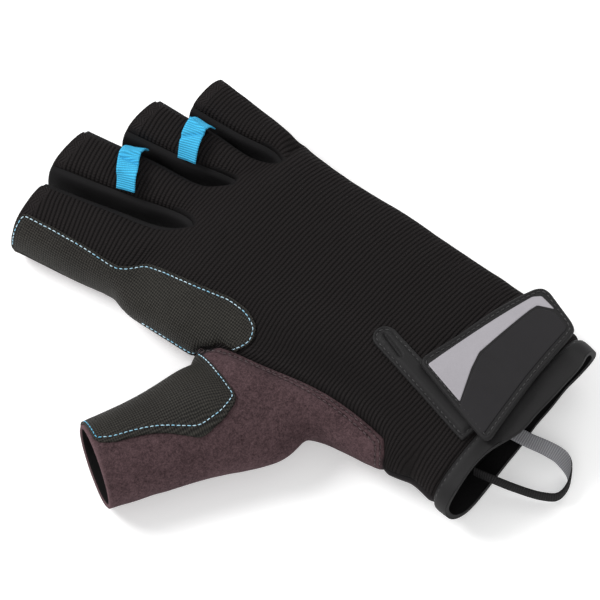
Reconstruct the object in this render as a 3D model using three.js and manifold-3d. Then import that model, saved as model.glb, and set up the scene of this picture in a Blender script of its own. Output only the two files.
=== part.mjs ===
// A fingerless climbing glove for the right hand, lying palm down, in millimetres.
// +Y runs to the fingertips, the thumb points to -X and the back of the hand faces +Z.
// The origin is on the flat of the palm. The sizes and tables below give the room inside the
// glove. One smooth surface runs through their points, the skin lies a wall outside it, and
// each panel of the glove is a slab of the skin, cut along its seams.
import * as THREE from 'three';
import { mergeVertices } from 'three/addons/utils/BufferGeometryUtils.js';
import Module from 'manifold-3d';

const wasm = await Module();
wasm.setup();

// Driving dimensions
const handLength = 136;
const handBreadth = 84;
const cuffBreadth = 79;
const handDepth = 26;
const cuffDepth = 25;
const knuckleDepth = 20.5;
const cuffBehind = 70;
const sideHeight = 11;
const wall = 1.6;
const seamGap = 0.35;
const layerGap = 0.3;
const layerThickness = 0.9;
const hemSwell = 0.5;
const webLength = 2;
const fingerCorner = 1.09;
const palmSink = 0.4;

const fingerSizes = table(
  ['name', 'column', 'length', 'baseBreadth', 'tipBreadth', 'tipDepth', 'lean', 'baseLean', 'endSlant'],
  [
    ['index', 0, 47, 25.6, 20.4, 22.5, -14.5, -1.6, 8],
    ['middle', 2, 51.5, 15.2, 20.8, 22, -14.2, -0.6, 0],
    ['ring', 4, 46.5, 11.4, 18.6, 22, -7.8, 0.1, -2],
    ['little', 6, 39.5, 9.3, 16.4, 18.5, 1.2, 2.3, 0],
  ],
);

const thumbLength = 70;
const thumbMouthBreadth = 27.5;
const thumbMouthDepth = 24;
const thumbTurn = 27;
const thumbRoot = { x: -37, y: 1 };

// Rows across the hand, from the mouth of the cuff to the finger webs. along is a share of
// handLength, flare goes from cuffBreadth to handBreadth, swell from cuffDepth to handDepth,
// shift is a share of handBreadth, seam places the thumb-side seam as a share of the half
// breadth, seamAlong and sideAlong move the seam and side points, in shares of handLength,
// and lift raises the palm, as a share of handDepth.
const handRows = table(
  ['along', 'flare', 'swell', 'shift', 'seam', 'seamAlong', 'sideAlong', 'lift'],
  [
    [0.0, -0.5, 0.0, 0.045, 0.88, 0.0, 0.0, 0.06],
    [0.052, -0.4, 0.1, 0.055, 0.9, 0.0, 0.0, 0.05],
    [0.132, -0.5, 0.3, 0.068, 0.89, 0.0, 0.0, 0.0],
    [0.235, 0.2, 0.6, 0.054, 0.89, 0.0, -0.03, 0.0],
    [0.426, 0.9, 0.9, 0.021, 0.8, 0.0, 0.0, 0.0],
    [0.588, 1.2, 1.0, 0.006, 0.86, 0.0, 0.0, 0.0],
    [0.721, 0.9, 1.0, -0.003, 0.93, -0.005, 0.05, 0.0],
    [0.816, 0.8, 1.0, -0.006, 0.92, 0.0, 0.0, 0.0],
    [0.912, 1.0, 0.3, -0.008, 0.92, 0.0, 0.0, 0.0],
    [1.0, 1.2, -3.2, -0.006, 0.92, 0.0, 0.0, 0.0],
  ],
);

// Columns across the back, from the thumb-side seam to the little-finger side. share is a
// share of the way between them. The rest are shares of handLength: how far the finger web
// lies behind the others, and how far the cuff's edge reaches out on the back and the palm.
const backColumns = table(
  ['share', 'setback', 'backMouth', 'palmMouth'],
  [
    [0.0, 0.0, 0.0, 0.015],
    [0.19, -0.01, 0.0, 0.01],
    [0.374, 0.014, 0.028, 0.0],
    [0.512, -0.009, 0.03, -0.005],
    [0.64, 0.012, 0.03, -0.013],
    [0.765, 0.033, 0.027, -0.015],
    [0.873, 0.061, 0.022, -0.018],
    [0.94, 0.054, 0.012, -0.015],
    [1.0, 0.05, 0.005, -0.01],
  ],
);

const fingerRings = table(
  ['along', 'tip', 'lift'],
  [
    [0.143, 0.0, 0.02],
    [0.42, 0.43, 0.02],
    [0.7, 0.75, 0.02],
    [1.0, 1.0, 0.03],
  ],
);

// Rings of the thumb, out to its mouth. along is a share of thumbLength, breadth and depth
// are shares of the mouth's, towardsIndex is a share of its breadth, and turn is the
// direction that a ring faces, as a share of thumbTurn.
const thumbRings = table(
  ['along', 'breadth', 'depth', 'towardsIndex', 'turn'],
  [
    [0.112, 1.8, 1.0, 0.112, -0.22],
    [0.23, 1.57, 1.0, 0.012, 0.15],
    [0.4, 1.37, 1.08, 0.01, 0.75],
    [0.67, 1.135, 1.04, -0.006, 1.05],
    [1.0, 1.0, 1.0, -0.007, 1.1],
  ],
);
const thumbRows = { first: 3, last: 6 };

const indexGripLength = 94;
const indexGripBreadth = 31.3;
const indexGripStart = 18.5;
const indexGripLow = -29.4;
const indexGripFacing = 45;
const indexGripDepth = 33.6;
const thumbGripBreadth = 35.5;
const thumbGripStart = 1.2;
const thumbGripRootGap = 17.8;
const thumbGripLength = thumbLength - thumbGripStart - thumbGripRootGap;
const thumbGripDepth = 6;
const thumbGripLow = -37.9;
const thumbGripFacing = 45;
const slitLength = 51;
const slitTrimBreadth = 9.2;
const slitCut = 0.8;
const slitTurn = 11;
const slitEnd = { x: -3.4, y: -11.8 };
const slitCutSetback = 2.8;
const strapLength = 62;
const strapBreadth = 38;
const strapThickness = 1.6;
const strapCorner = { x: -15, y: -69.4 };
const strapLeaves = 22;
const strapDrop = 4.5;
const strapBend = 1.6;
const strapColumns = 15;
const strapRows = 9;
const facingThickness = 0.5;
const tabBreadth = 7.5;
const tabRise = 2.6;
const tabThickness = 0.7;
const tabFullness = 0.7;
const loopTapeBreadth = 5.5;
const loopTapeThickness = 0.9;
const loopReach = 28;
const loopBreadth = 25;
const loopCorner = { x: -15.4, y: -64 };

// Outlines of the two grip patches, as shares of their length and breadth.
const indexGripEdge = table(
  ['along', 'across'],
  [
    [1.0, 0.518], [0.873, 0.554], [0.745, 0.575], [0.596, 0.578], [0.553, 0.661],
    [0.524, 0.744], [0.45, 0.818], [0.367, 0.879], [0.229, 0.963], [0.172, 1.0],
    [0.09, 0.997], [0.027, 0.923], [0.0, 0.77], [0.016, 0.636], [0.048, 0.534],
    [0.133, 0.335], [0.186, 0.19], [1.0, 0.0],
  ],
);
const thumbGripEdge = table(
  ['along', 'across'],
  [
    [0.0, 0.231], [0.103, 0.177], [0.257, 0.155], [0.358, 0.132], [0.451, 0.099],
    [0.556, 0.048], [0.669, 0.003], [0.756, 0.011], [0.861, 0.037], [0.962, 0.112],
    [1.0, 0.18], [0.99, 0.276], [0.97, 0.5], [0.93, 0.9], [0.0, 0.84],
  ],
);

// Outlines of the strap and the two facings on it, as shares of the strap's length and breadth.
const strapEdge = table(
  ['along', 'across'],
  [
    [0.153, 1.01], [0.403, 0.9], [0.677, 0.824], [0.887, 0.74], [0.982, 0.695], [1.003, 0.605],
    [0.974, 0.484], [0.91, 0.182], [0.865, 0.14], [0.477, 0.087], [0.0, 0.0],
  ],
);
const silverEdge = table(
  ['along', 'across'],
  [
    [0.139, 0.924], [0.897, 0.66], [0.937, 0.608], [0.918, 0.432], [0.869, 0.568],
    [0.815, 0.584], [0.411, 0.634], [0.305, 0.584], [0.09, 0.452],
  ],
);
const panelEdge = table(
  ['along', 'across'],
  [
    [0.075, 0.42], [0.306, 0.558], [0.413, 0.608], [0.815, 0.557], [0.86, 0.536],
    [0.9, 0.4], [0.87, 0.215], [0.477, 0.165], [0.03, 0.084],
  ],
);

// Pull tabs: the finger's column and where each end lies along and across the hand, in
// shares of handLength and handBreadth.
const pullTabs = table(
  ['name', 'fromAcross', 'fromAlong', 'toAcross', 'toAlong'],
  [
    ['pull_tab_middle', -0.158, 0.68, 0.036, 0.732],
    ['pull_tab_ring', 0.11, 0.621, 0.298, 0.644],
  ],
);

// The hang loop's run, as shares of its breadth and reach: its height is the tape's middle
// as a share of the tape's breadth, and upright goes from lying flat to standing on edge.
const loopRun = table(
  ['across', 'along', 'height', 'upright'],
  [
    [0.86, 0.0, 0.78, 0.0], [0.9, 0.22, 0.78, 0.0], [0.98, 0.5, 0.7, 0.1], [1.0, 0.68, 0.65, 0.35],
    [0.92, 0.86, 0.62, 0.7], [0.74, 0.98, 0.6, 1.0], [0.5, 0.99, 0.6, 1.0], [0.36, 0.84, 0.62, 1.0],
    [0.2, 0.52, 0.8, 1.0], [0.07, 0.25, 1.2, 1.0], [0.0, 0.02, 1.25, 1.0],
  ],
);
const lastColumn = backColumns.length - 1;

function table(columns, rows) {
  return rows.map((row) => Object.fromEntries(columns.map((column, i) => [column, row[i]])));
}

function mix(a, b, share) {
  return a + (b - a) * share;
}

// How far a rounded box section reaches at a place across it, from 0 at its edge to 1.
function crown(across, power) {
  return (1 - Math.min(1, Math.abs(across)) ** power) ** (1 / power);
}

const backPower = 2.4;
const palmPower = 2.8;
const edgeShare = 0.93;

// The points of one row across the hand: back, palm and the middle of both sides.
function handRow(row, isMouth, isWeb) {
  const half = mix(cuffBreadth, handBreadth, row.flare) / 2;
  const depth = mix(cuffDepth, handDepth, row.swell);
  const centre = row.shift * handBreadth;
  const y = row.along * handLength - cuffBehind;
  const bottom = row.lift * handDepth - palmSink;
  const points = {};
  const place = (x, top) => {
    const across = (x - centre) / half;
    if (top) return sideHeight + (depth - sideHeight) * crown(across, backPower);
    return mix(sideHeight, bottom, crown(across, palmPower));
  };
  backColumns.forEach((column, i) => {
    const x = centre + half * mix(-row.seam, edgeShare, column.share);
    const seamMove = i === 0 ? row.seamAlong : 0;
    const webMove = isWeb ? column.setback : 0;
    const backMove = seamMove - webMove - (isMouth ? column.backMouth : 0);
    const palmMove = seamMove - webMove - (isMouth ? column.palmMouth : 0);
    points[`back${i}`] = new THREE.Vector3(x, y + backMove * handLength, place(x, true));
    points[`palm${i}`] = new THREE.Vector3(x, y + palmMove * handLength, place(x, false));
  });
  const webBack = isWeb ? backColumns[lastColumn].setback * handLength : 0;
  const sideY = y + row.sideAlong * handLength;
  points.thumbSide = new THREE.Vector3(centre - half, sideY, sideHeight);
  points.littleSide = new THREE.Vector3(centre + half, y - webBack, sideHeight);
  return points;
}

// The cage of the whole skin: named points, and faces that each belong to a panel.
const cage = { points: [], faces: [], panels: [] };
const pointNumbers = new Map();

function addPoint(name, point) {
  pointNumbers.set(name, cage.points.length);
  cage.points.push(point);
}

function addFace(panel, names) {
  cage.faces.push(names.map((name) => pointNumbers.get(name)).reverse());
  cage.panels.push(panel);
}

// The loop of point names round one hand row, seen from the fingertips.
function handLoop(row) {
  const back = backColumns.map((_, i) => `row${row}back${i}`);
  const palm = backColumns.map((_, i) => `row${row}palm${i}`).reverse();
  return [`row${row}thumbSide`, ...back, `row${row}littleSide`, ...palm];
}

function handPanel(row, place) {
  if (row === 0) return 'cuff_binding';
  const sideAndBack = lastColumn + 2;
  return place < sideAndBack ? 'knit_back' : 'palm_suede';
}

function addHand() {
  handRows.forEach((row, r) => {
    const points = handRow(row, r === 0, r === handRows.length - 1);
    for (const [name, point] of Object.entries(points)) {
      const inThumbHole = name === 'thumbSide' && r > thumbRows.first && r < thumbRows.last;
      if (!inThumbHole) addPoint(`row${r}${name}`, point);
    }
  });
  for (let r = 0; r < handRows.length - 1; r += 1) {
    const near = handLoop(r);
    const far = handLoop(r + 1);
    near.forEach((name, i) => {
      const next = (i + 1) % near.length;
      const besideThumb = i === 0 || next === 0;
      if (besideThumb && r >= thumbRows.first && r < thumbRows.last) return;
      addFace(handPanel(r, i), [near[i], far[i], far[next], near[next]]);
    });
  }
}

// A finger's rings have eight points, from its thumb side over its back.
const ringTurns = [180, 135, 90, 45, 0, -45, -90, -135];

function fingerBase(finger) {
  const row = handRows.length - 1;
  const c = finger.column;
  const side = (column) => {
    if (column === 0) return `row${row}thumbSide`;
    if (column === lastColumn) return `row${row}littleSide`;
    return `web${column}`;
  };
  const name = (face, column) => `row${row}${face}${column}`;
  return [
    side(c), name('back', c), name('back', c + 1), name('back', c + 2),
    side(c + 2), name('palm', c + 2), name('palm', c + 1), name('palm', c),
  ];
}

function addWebs() {
  const row = handRows.length - 1;
  for (const { column } of fingerSizes.slice(1)) {
    const back = cage.points[pointNumbers.get(`row${row}back${column}`)];
    const palm = cage.points[pointNumbers.get(`row${row}palm${column}`)];
    const middle = back.clone().add(palm).multiplyScalar(0.5);
    middle.y += webLength;
    addPoint(`web${column}`, middle);
  }
}

const gussetOfColumn = { 2: 'gusset_index_middle', 4: 'gusset_middle_ring', 6: 'gusset_ring_little' };

function fingerPanel(finger, place) {
  const thumbward = place === 0 || place === 7;
  const outward = place === 3 || place === 4;
  const column = thumbward ? finger.column : finger.column + 2;
  const isGusset = (thumbward || outward) && column in gussetOfColumn;
  if (isGusset) return gussetOfColumn[column];
  return place < 4 ? 'knit_back' : 'palm_suede';
}

function addFinger(finger) {
  const base = fingerBase(finger);
  const basePoints = base.map((name) => cage.points[pointNumbers.get(name)]);
  const start = new THREE.Vector3().addVectors(basePoints[2], basePoints[6]).multiplyScalar(0.5);
  let near = base;
  fingerRings.forEach((ring, r) => {
    const breadth = mix(finger.baseBreadth, finger.tipBreadth, ring.tip);
    const depth = mix(knuckleDepth, finger.tipDepth, ring.along);
    const slant = Math.tan(THREE.MathUtils.degToRad(finger.endSlant * ring.along));
    const centreX = start.x + mix(finger.baseLean, finger.lean, ring.along);
    const centreY = start.y + finger.length * ring.along;
    const centreZ = depth * (0.5 + ring.lift) - palmSink;
    const far = ringTurns.map((turn, i) => {
      const angle = THREE.MathUtils.degToRad(turn);
      const corner = i % 2 === 1 ? fingerCorner : 1;
      const across = (breadth / 2) * corner * Math.cos(angle);
      const z = centreZ + (depth / 2) * corner * Math.sin(angle);
      const name = `${finger.name}${r}point${i}`;
      addPoint(name, new THREE.Vector3(centreX + across, centreY + across * slant, z));
      return name;
    });
    near.forEach((_, i) => {
      const next = (i + 1) % near.length;
      addFace(fingerPanel(finger, i), [near[i], far[i], far[next], near[next]]);
    });
    near = far;
  });
}

function addThumb() {
  const { first, last } = thumbRows;
  const rows = Array.from({ length: last - first + 1 }, (_, i) => first + i);
  const back = rows.map((row) => `row${row}back0`).reverse();
  const palm = rows.map((row) => `row${row}palm0`);
  const base = [`row${last}thumbSide`, ...back, `row${first}thumbSide`, ...palm];
  const axisTurn = THREE.MathUtils.degToRad(thumbTurn);
  const out = new THREE.Vector3(-Math.cos(axisTurn), Math.sin(axisTurn), 0);
  const sideways = new THREE.Vector3(Math.sin(axisTurn), Math.cos(axisTurn), 0);
  let near = base;
  thumbRings.forEach((ring, r) => {
    const halfBreadth = (thumbMouthBreadth / 2) * ring.breadth;
    const halfDepth = (thumbMouthDepth / 2) * ring.depth;
    const turn = axisTurn * ring.turn;
    const across = new THREE.Vector3(Math.sin(turn), Math.cos(turn), 0);
    const centre = new THREE.Vector3(thumbRoot.x, thumbRoot.y, halfDepth);
    centre.addScaledVector(out, thumbLength * ring.along);
    centre.addScaledVector(sideways, ring.towardsIndex * thumbMouthBreadth);
    const far = base.map((_, i) => {
      const angle = (i / base.length) * 2 * Math.PI;
      const point = centre.clone().addScaledVector(across, halfBreadth * Math.cos(angle));
      point.z += halfDepth * Math.sin(angle);
      const name = `thumb${r}point${i}`;
      addPoint(name, point);
      return name;
    });
    near.forEach((_, i) => {
      const next = (i + 1) % near.length;
      addFace('thumb_suede', [near[next], far[next], far[i], near[i]]);
    });
    near = far;
  });
}

// Smooth subdivision of the cage, with the border of each opening as a smooth curve.
function edgeKey(a, b) {
  return a < b ? `${a},${b}` : `${b},${a}`;
}

function neighbourhood(mesh) {
  const edges = new Map();
  mesh.faces.forEach((face, f) => {
    face.forEach((a, i) => {
      const b = face[(i + 1) % face.length];
      const key = edgeKey(a, b);
      if (!edges.has(key)) edges.set(key, { a, b, faces: [] });
      edges.get(key).faces.push(f);
    });
  });
  const around = mesh.points.map(() => ({ edges: [], faces: [] }));
  for (const edge of edges.values()) {
    around[edge.a].edges.push(edge);
    around[edge.b].edges.push(edge);
  }
  mesh.faces.forEach((face, f) => face.forEach((a) => around[a].faces.push(f)));
  return { edges, around };
}

function otherEnd(edge, a) {
  return edge.a === a ? edge.b : edge.a;
}

function subdivided(mesh) {
  const { edges, around } = neighbourhood(mesh);
  const points = [];
  const facePoints = mesh.faces.map((face) => {
    const sum = face.reduce((s, a) => s.add(mesh.points[a]), new THREE.Vector3());
    return sum.divideScalar(face.length);
  });
  mesh.points.forEach((point, a) => {
    const rim = around[a].edges.filter((edge) => edge.faces.length === 1);
    const moved = point.clone();
    if (rim.length > 0) {
      moved.multiplyScalar(6);
      rim.forEach((edge) => moved.add(mesh.points[otherEnd(edge, a)]));
      points.push(moved.divideScalar(8));
      return;
    }
    const n = around[a].edges.length;
    const faceMean = around[a].faces.reduce((s, f) => s.add(facePoints[f]), new THREE.Vector3());
    const edgeMean = around[a].edges.reduce(
      (s, edge) => s.add(mesh.points[otherEnd(edge, a)]), new THREE.Vector3(),
    );
    moved.multiplyScalar((n - 2) / n);
    moved.addScaledVector(faceMean, 1 / (n * n));
    moved.addScaledVector(edgeMean, 1 / (n * n));
    points.push(moved);
  });
  const edgeNumbers = new Map();
  for (const [key, edge] of edges) {
    const middle = mesh.points[edge.a].clone().add(mesh.points[edge.b]);
    if (edge.faces.length === 2) {
      edge.faces.forEach((f) => middle.add(facePoints[f]));
      middle.multiplyScalar(0.25);
    } else {
      middle.multiplyScalar(0.5);
    }
    edgeNumbers.set(key, points.length);
    points.push(middle);
  }
  const faces = [];
  const panels = [];
  mesh.faces.forEach((face, f) => {
    const centre = points.length;
    points.push(facePoints[f]);
    face.forEach((a, i) => {
      const after = face[(i + 1) % face.length];
      const before = face[(i + face.length - 1) % face.length];
      const right = edgeNumbers.get(edgeKey(a, after));
      const left = edgeNumbers.get(edgeKey(before, a));
      faces.push([a, right, centre, left]);
      panels.push(mesh.panels[f]);
    });
  });
  return { points, faces, panels };
}

// Where each cage point ends up on the smooth surface.
function limitPoints(mesh) {
  const { around } = neighbourhood(mesh);
  return mesh.points.map((point, a) => {
    const rim = around[a].edges.filter((edge) => edge.faces.length === 1);
    const limit = point.clone();
    if (rim.length > 0) {
      limit.multiplyScalar(4);
      rim.forEach((edge) => limit.add(mesh.points[otherEnd(edge, a)]));
      return limit.divideScalar(6);
    }
    const n = around[a].edges.length;
    limit.multiplyScalar(n * n);
    around[a].edges.forEach((edge) => limit.addScaledVector(mesh.points[otherEnd(edge, a)], 4));
    around[a].faces.forEach((f) => {
      const face = mesh.faces[f];
      limit.add(mesh.points[face[(face.indexOf(a) + 2) % face.length]]);
    });
    return limit.divideScalar(n * (n + 5));
  });
}

// Moves the cage so that the smooth surface passes through the points of the tables.
const fitRounds = 12;

function fitCage(mesh) {
  const wanted = mesh.points.map((point) => point.clone());
  for (let round = 0; round < fitRounds; round += 1) {
    const reached = limitPoints(mesh);
    mesh.points.forEach((point, a) => point.add(wanted[a]).sub(reached[a]));
  }
}

// The palm is pressed flat where it rests, and stands a wall above the ground.
function pressFlat(mesh) {
  mesh.points.forEach((point) => {
    point.z = Math.max(0, point.z) + wall;
  });
}

function pointNormals(mesh) {
  const normals = mesh.points.map(() => new THREE.Vector3());
  mesh.faces.forEach((face) => {
    const [a, b, c, d] = face.map((i) => mesh.points[i]);
    const across = new THREE.Vector3().subVectors(c, a);
    const along = new THREE.Vector3().subVectors(d, b);
    const normal = across.cross(along);
    face.forEach((i) => normals[i].add(normal));
  });
  return normals.map((normal) => normal.normalize());
}

// A closed slab over some faces of the skin, between two heights above it, with its seams
// pulled in by half the seam gap. A seam's wall is split the same way on both of its sides.
const sharpestCorner = 0.1;

function slab(mesh, normals, wanted, outer, inner) {
  const picked = mesh.faces.filter((_, f) => wanted.has(mesh.panels[f]));
  const rim = new Map();
  picked.forEach((face) => {
    face.forEach((a, i) => {
      const b = face[(i + 1) % face.length];
      const key = edgeKey(a, b);
      if (rim.has(key)) rim.delete(key);
      else rim.set(key, [a, b]);
    });
  });
  const pulls = new Map();
  for (const [a, b] of rim.values()) {
    for (const end of [a, b]) {
      const along = new THREE.Vector3().subVectors(mesh.points[b], mesh.points[a]);
      const inward = new THREE.Vector3().crossVectors(normals[end], along).normalize();
      if (!pulls.has(end)) pulls.set(end, []);
      pulls.get(end).push(inward);
    }
  }
  const numbers = new Map();
  const outerPoints = [];
  const innerPoints = [];
  picked.flat().forEach((a) => {
    if (numbers.has(a)) return;
    numbers.set(a, outerPoints.length);
    const base = mesh.points[a].clone();
    const pull = pulls.get(a);
    if (pull) {
      const sum = pull.reduce((s, v) => s.add(v), new THREE.Vector3());
      const reach = Math.max(sharpestCorner, sum.lengthSq() / pull.length);
      base.addScaledVector(sum, seamGap / 2 / reach);
    }
    outerPoints.push(base.clone().addScaledVector(normals[a], outer));
    innerPoints.push(base.clone().addScaledVector(normals[a], inner));
  });
  const count = outerPoints.length;
  const triangles = [];
  const addQuad = (a, b, c, d) => triangles.push([a, b, c], [a, c, d]);
  picked.forEach((face) => {
    const [a, b, c, d] = face.map((i) => numbers.get(i));
    addQuad(a, b, c, d);
    triangles.push([count + a, count + c, count + b], [count + a, count + d, count + c]);
  });
  for (const [a, b] of rim.values()) {
    const from = numbers.get(a);
    const to = numbers.get(b);
    if (a < b) addQuad(to, from, count + from, count + to);
    else addQuad(from, count + from, count + to, to);
  }
  return geometryOf([...outerPoints, ...innerPoints], triangles);
}

function geometryOf(points, triangles) {
  const geometry = new THREE.BufferGeometry();
  const positions = points.flatMap((point) => point.toArray());
  geometry.setAttribute('position', new THREE.Float32BufferAttribute(positions, 3));
  geometry.setIndex(triangles.flat());
  return geometry;
}

// Joining and cutting of closed meshes.
const weldReach = 1e-5;

function solidOf(geometry) {
  const bare = geometry.clone();
  bare.deleteAttribute('normal');
  bare.deleteAttribute('uv');
  const merged = mergeVertices(bare, weldReach);
  return new wasm.Manifold(new wasm.Mesh({
    numProp: 3,
    vertProperties: new Float32Array(merged.attributes.position.array),
    triVerts: new Uint32Array(merged.index.array),
  }));
}

function geometryFrom(solid) {
  const mesh = solid.getMesh();
  const geometry = new THREE.BufferGeometry();
  geometry.setAttribute('position', new THREE.BufferAttribute(mesh.vertProperties, 3));
  geometry.setIndex(new THREE.BufferAttribute(mesh.triVerts, 1));
  return geometry;
}

addHand();
addWebs();
fingerSizes.forEach(addFinger);
addThumb();
fitCage(cage);
const skin = subdivided(cage);
pressFlat(skin);
const skinNormals = pointNormals(skin);
skin.points.forEach((point, i) => point.addScaledVector(skinNormals[i], wall));

const panelFinishes = {
  knit_back: { color: 0x1d1b1b, roughness: 0.95 },
  palm_suede: { color: 0x5a4b50, roughness: 0.9 },
  thumb_suede: { color: 0x5a4b50, roughness: 0.9 },
  gusset_index_middle: { color: 0x151516, roughness: 0.8 },
  gusset_middle_ring: { color: 0x151516, roughness: 0.8 },
  gusset_ring_little: { color: 0x151516, roughness: 0.8 },
  cuff_binding: { color: 0x2b2b2d, roughness: 0.6 },
};
const gripFinish = { color: 0x33322e, roughness: 0.75 };
const trimFinish = { color: 0x2b2b2d, roughness: 0.6 };
const silverFinish = { color: 0xb4afb9, roughness: 0.45 };
const panelFinish = { color: 0x323034, roughness: 0.6 };
const tabFinish = { color: 0x46b9e6, roughness: 0.7 };
const tapeFinish = { color: 0x8c8c90, roughness: 0.7 };

const glove = new THREE.Group();

function addPiece(name, geometry, finish) {
  const material = new THREE.MeshStandardMaterial({ metalness: 0, ...finish });
  const mesh = new THREE.Mesh(geometry, material);
  mesh.name = name;
  glove.add(mesh);
}

for (const [name, finish] of Object.entries(panelFinishes)) {
  const swell = name === 'cuff_binding' ? hemSwell : 0;
  addPiece(name, slab(skin, skinNormals, new Set([name]), swell, -wall - swell), finish);
}

// A prism of an outline drawn in the plane of two axes, from one distance above it outwards.
const outside = 200;

function prism(outline, along, across, from) {
  const shape = new THREE.Shape(outline.map(([a, b]) => new THREE.Vector2(a, b)));
  const geometry = new THREE.ExtrudeGeometry(shape, { depth: outside, bevelEnabled: false });
  const facing = new THREE.Vector3().crossVectors(along, across);
  const frame = new THREE.Matrix4().makeBasis(along, across, facing);
  frame.setPosition(facing.multiplyScalar(from));
  geometry.applyMatrix4(frame);
  return solidOf(geometry);
}

// A layer of skin panels lying just above the skin, to be cut to an outline.
function layer(panels, lift, thickness) {
  return solidOf(slab(skin, skinNormals, new Set(panels), lift + thickness, lift));
}

function scaled(edge, start, length, low, breadth) {
  return edge.map((row) => [start + row.along * length, low + row.across * breadth]);
}

// The index grip faces half sideways: its plane runs along the finger and up over the back.
const indexTurn = THREE.MathUtils.degToRad(indexGripFacing);
const indexUp = new THREE.Vector3(Math.cos(indexTurn), 0, Math.sin(indexTurn));
const indexOutline = scaled(
  indexGripEdge, indexGripStart, indexGripLength, indexGripLow, indexGripBreadth,
).map(([along, across]) => [across, along]);
const indexGrip = layer(['knit_back', 'palm_suede'], layerGap, layerThickness)
  .intersect(prism(indexOutline, indexUp, new THREE.Vector3(0, 1, 0), indexGripDepth));
addPiece('index_grip_patch', geometryFrom(indexGrip), gripFinish);

// The thumb grip faces half towards the index finger.
const thumbFacing = THREE.MathUtils.degToRad(thumbGripFacing);
const thumbAxis = THREE.MathUtils.degToRad(thumbTurn);
const thumbInward = new THREE.Vector3(Math.cos(thumbAxis), -Math.sin(thumbAxis), 0);
const thumbDown = new THREE.Vector3(
  Math.cos(thumbFacing) * Math.sin(thumbAxis),
  Math.cos(thumbFacing) * Math.cos(thumbAxis),
  -Math.sin(thumbFacing),
);
const thumbMouth = new THREE.Vector3(thumbRoot.x, thumbRoot.y, 0).dot(thumbInward) - thumbLength;
const thumbOutline = scaled(
  thumbGripEdge, thumbMouth + thumbGripStart, thumbGripLength, thumbGripLow, thumbGripBreadth,
);
const aboveThumbSeam = solidOf(new THREE.BoxGeometry(2 * outside, 2 * outside, outside)
  .translate(0, 0, outside / 2 + sideHeight / 2));
const thumbGrip = layer(['thumb_suede'], layerGap, layerThickness)
  .intersect(prism(thumbOutline, thumbInward, thumbDown, -thumbGripDepth))
  .intersect(aboveThumbSeam);
addPiece('thumb_grip_patch', geometryFrom(thumbGrip), gripFinish);

// The slit's trim is a long strip with a round end, cut down its middle.
const slitAxis = THREE.MathUtils.degToRad(slitTurn);
const slitAlong = new THREE.Vector3(-Math.sin(slitAxis), -Math.cos(slitAxis), 0);
const slitAcross = new THREE.Vector3(Math.cos(slitAxis), -Math.sin(slitAxis), 0);
const slitStart = new THREE.Vector3(slitEnd.x, slitEnd.y, 0);
const slitFrom = slitStart.dot(slitAlong);
const slitMiddle = slitStart.dot(slitAcross);
const roundSteps = 8;
const trimRadius = slitTrimBreadth / 2;
const trimOutline = Array.from({ length: roundSteps + 1 }, (_, i) => {
  const angle = Math.PI * (0.5 + i / roundSteps);
  return [
    slitFrom + trimRadius + trimRadius * Math.cos(angle),
    slitMiddle + trimRadius * Math.sin(angle),
  ];
});
trimOutline.push([slitFrom + slitLength, slitMiddle - trimRadius]);
trimOutline.push([slitFrom + slitLength, slitMiddle + trimRadius]);
const cutOutline = [
  [slitFrom + slitCutSetback, slitMiddle - slitCut / 2],
  [slitFrom + slitLength + trimRadius, slitMiddle - slitCut / 2],
  [slitFrom + slitLength + trimRadius, slitMiddle + slitCut / 2],
  [slitFrom + slitCutSetback, slitMiddle + slitCut / 2],
];
const mouthEdge = handRows[1].along * handLength - cuffBehind;
const beforeHem = solidOf(new THREE.BoxGeometry(outside, outside, outside)
  .translate(0, outside / 2 + mouthEdge + layerGap, outside / 2 + sideHeight));
const slitTrim = layer(['knit_back'], layerGap, layerThickness)
  .intersect(prism(trimOutline, slitAlong, slitAcross, sideHeight))
  .subtract(prism(cutOutline, slitAlong, slitAcross, sideHeight))
  .intersect(beforeHem);
addPiece('slit_binding', geometryFrom(slitTrim), trimFinish);

// Height of the skin's back above a place.
function skinHeight(x, y) {
  let height = 0;
  skin.faces.forEach((face) => {
    for (const corners of [[0, 1, 2], [0, 2, 3]]) {
      const [a, b, c] = corners.map((i) => skin.points[face[i]]);
      const area = (b.x - a.x) * (c.y - a.y) - (c.x - a.x) * (b.y - a.y);
      const v = ((x - a.x) * (c.y - a.y) - (c.x - a.x) * (y - a.y)) / area;
      const w = ((b.x - a.x) * (y - a.y) - (x - a.x) * (b.y - a.y)) / area;
      if (v >= 0 && w >= 0 && v + w <= 1) {
        height = Math.max(height, a.z + v * (b.z - a.z) + w * (c.z - a.z));
      }
    }
  });
  return height;
}

// The strap lies over the slit's trim and runs straight on past the rounded side.
const strapLift = layerGap + layerThickness + layerGap;
const strapMargin = 4;

function strapHeight(x, y) {
  const past = Math.max(0, x - strapLeaves) / (strapCorner.x + strapLength - strapLeaves);
  const inside = Math.max(y, mouthEdge + hemSwell);
  return skinHeight(Math.min(x, strapLeaves), inside) + strapLift + hemSwell - strapDrop * past ** strapBend;
}

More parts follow.
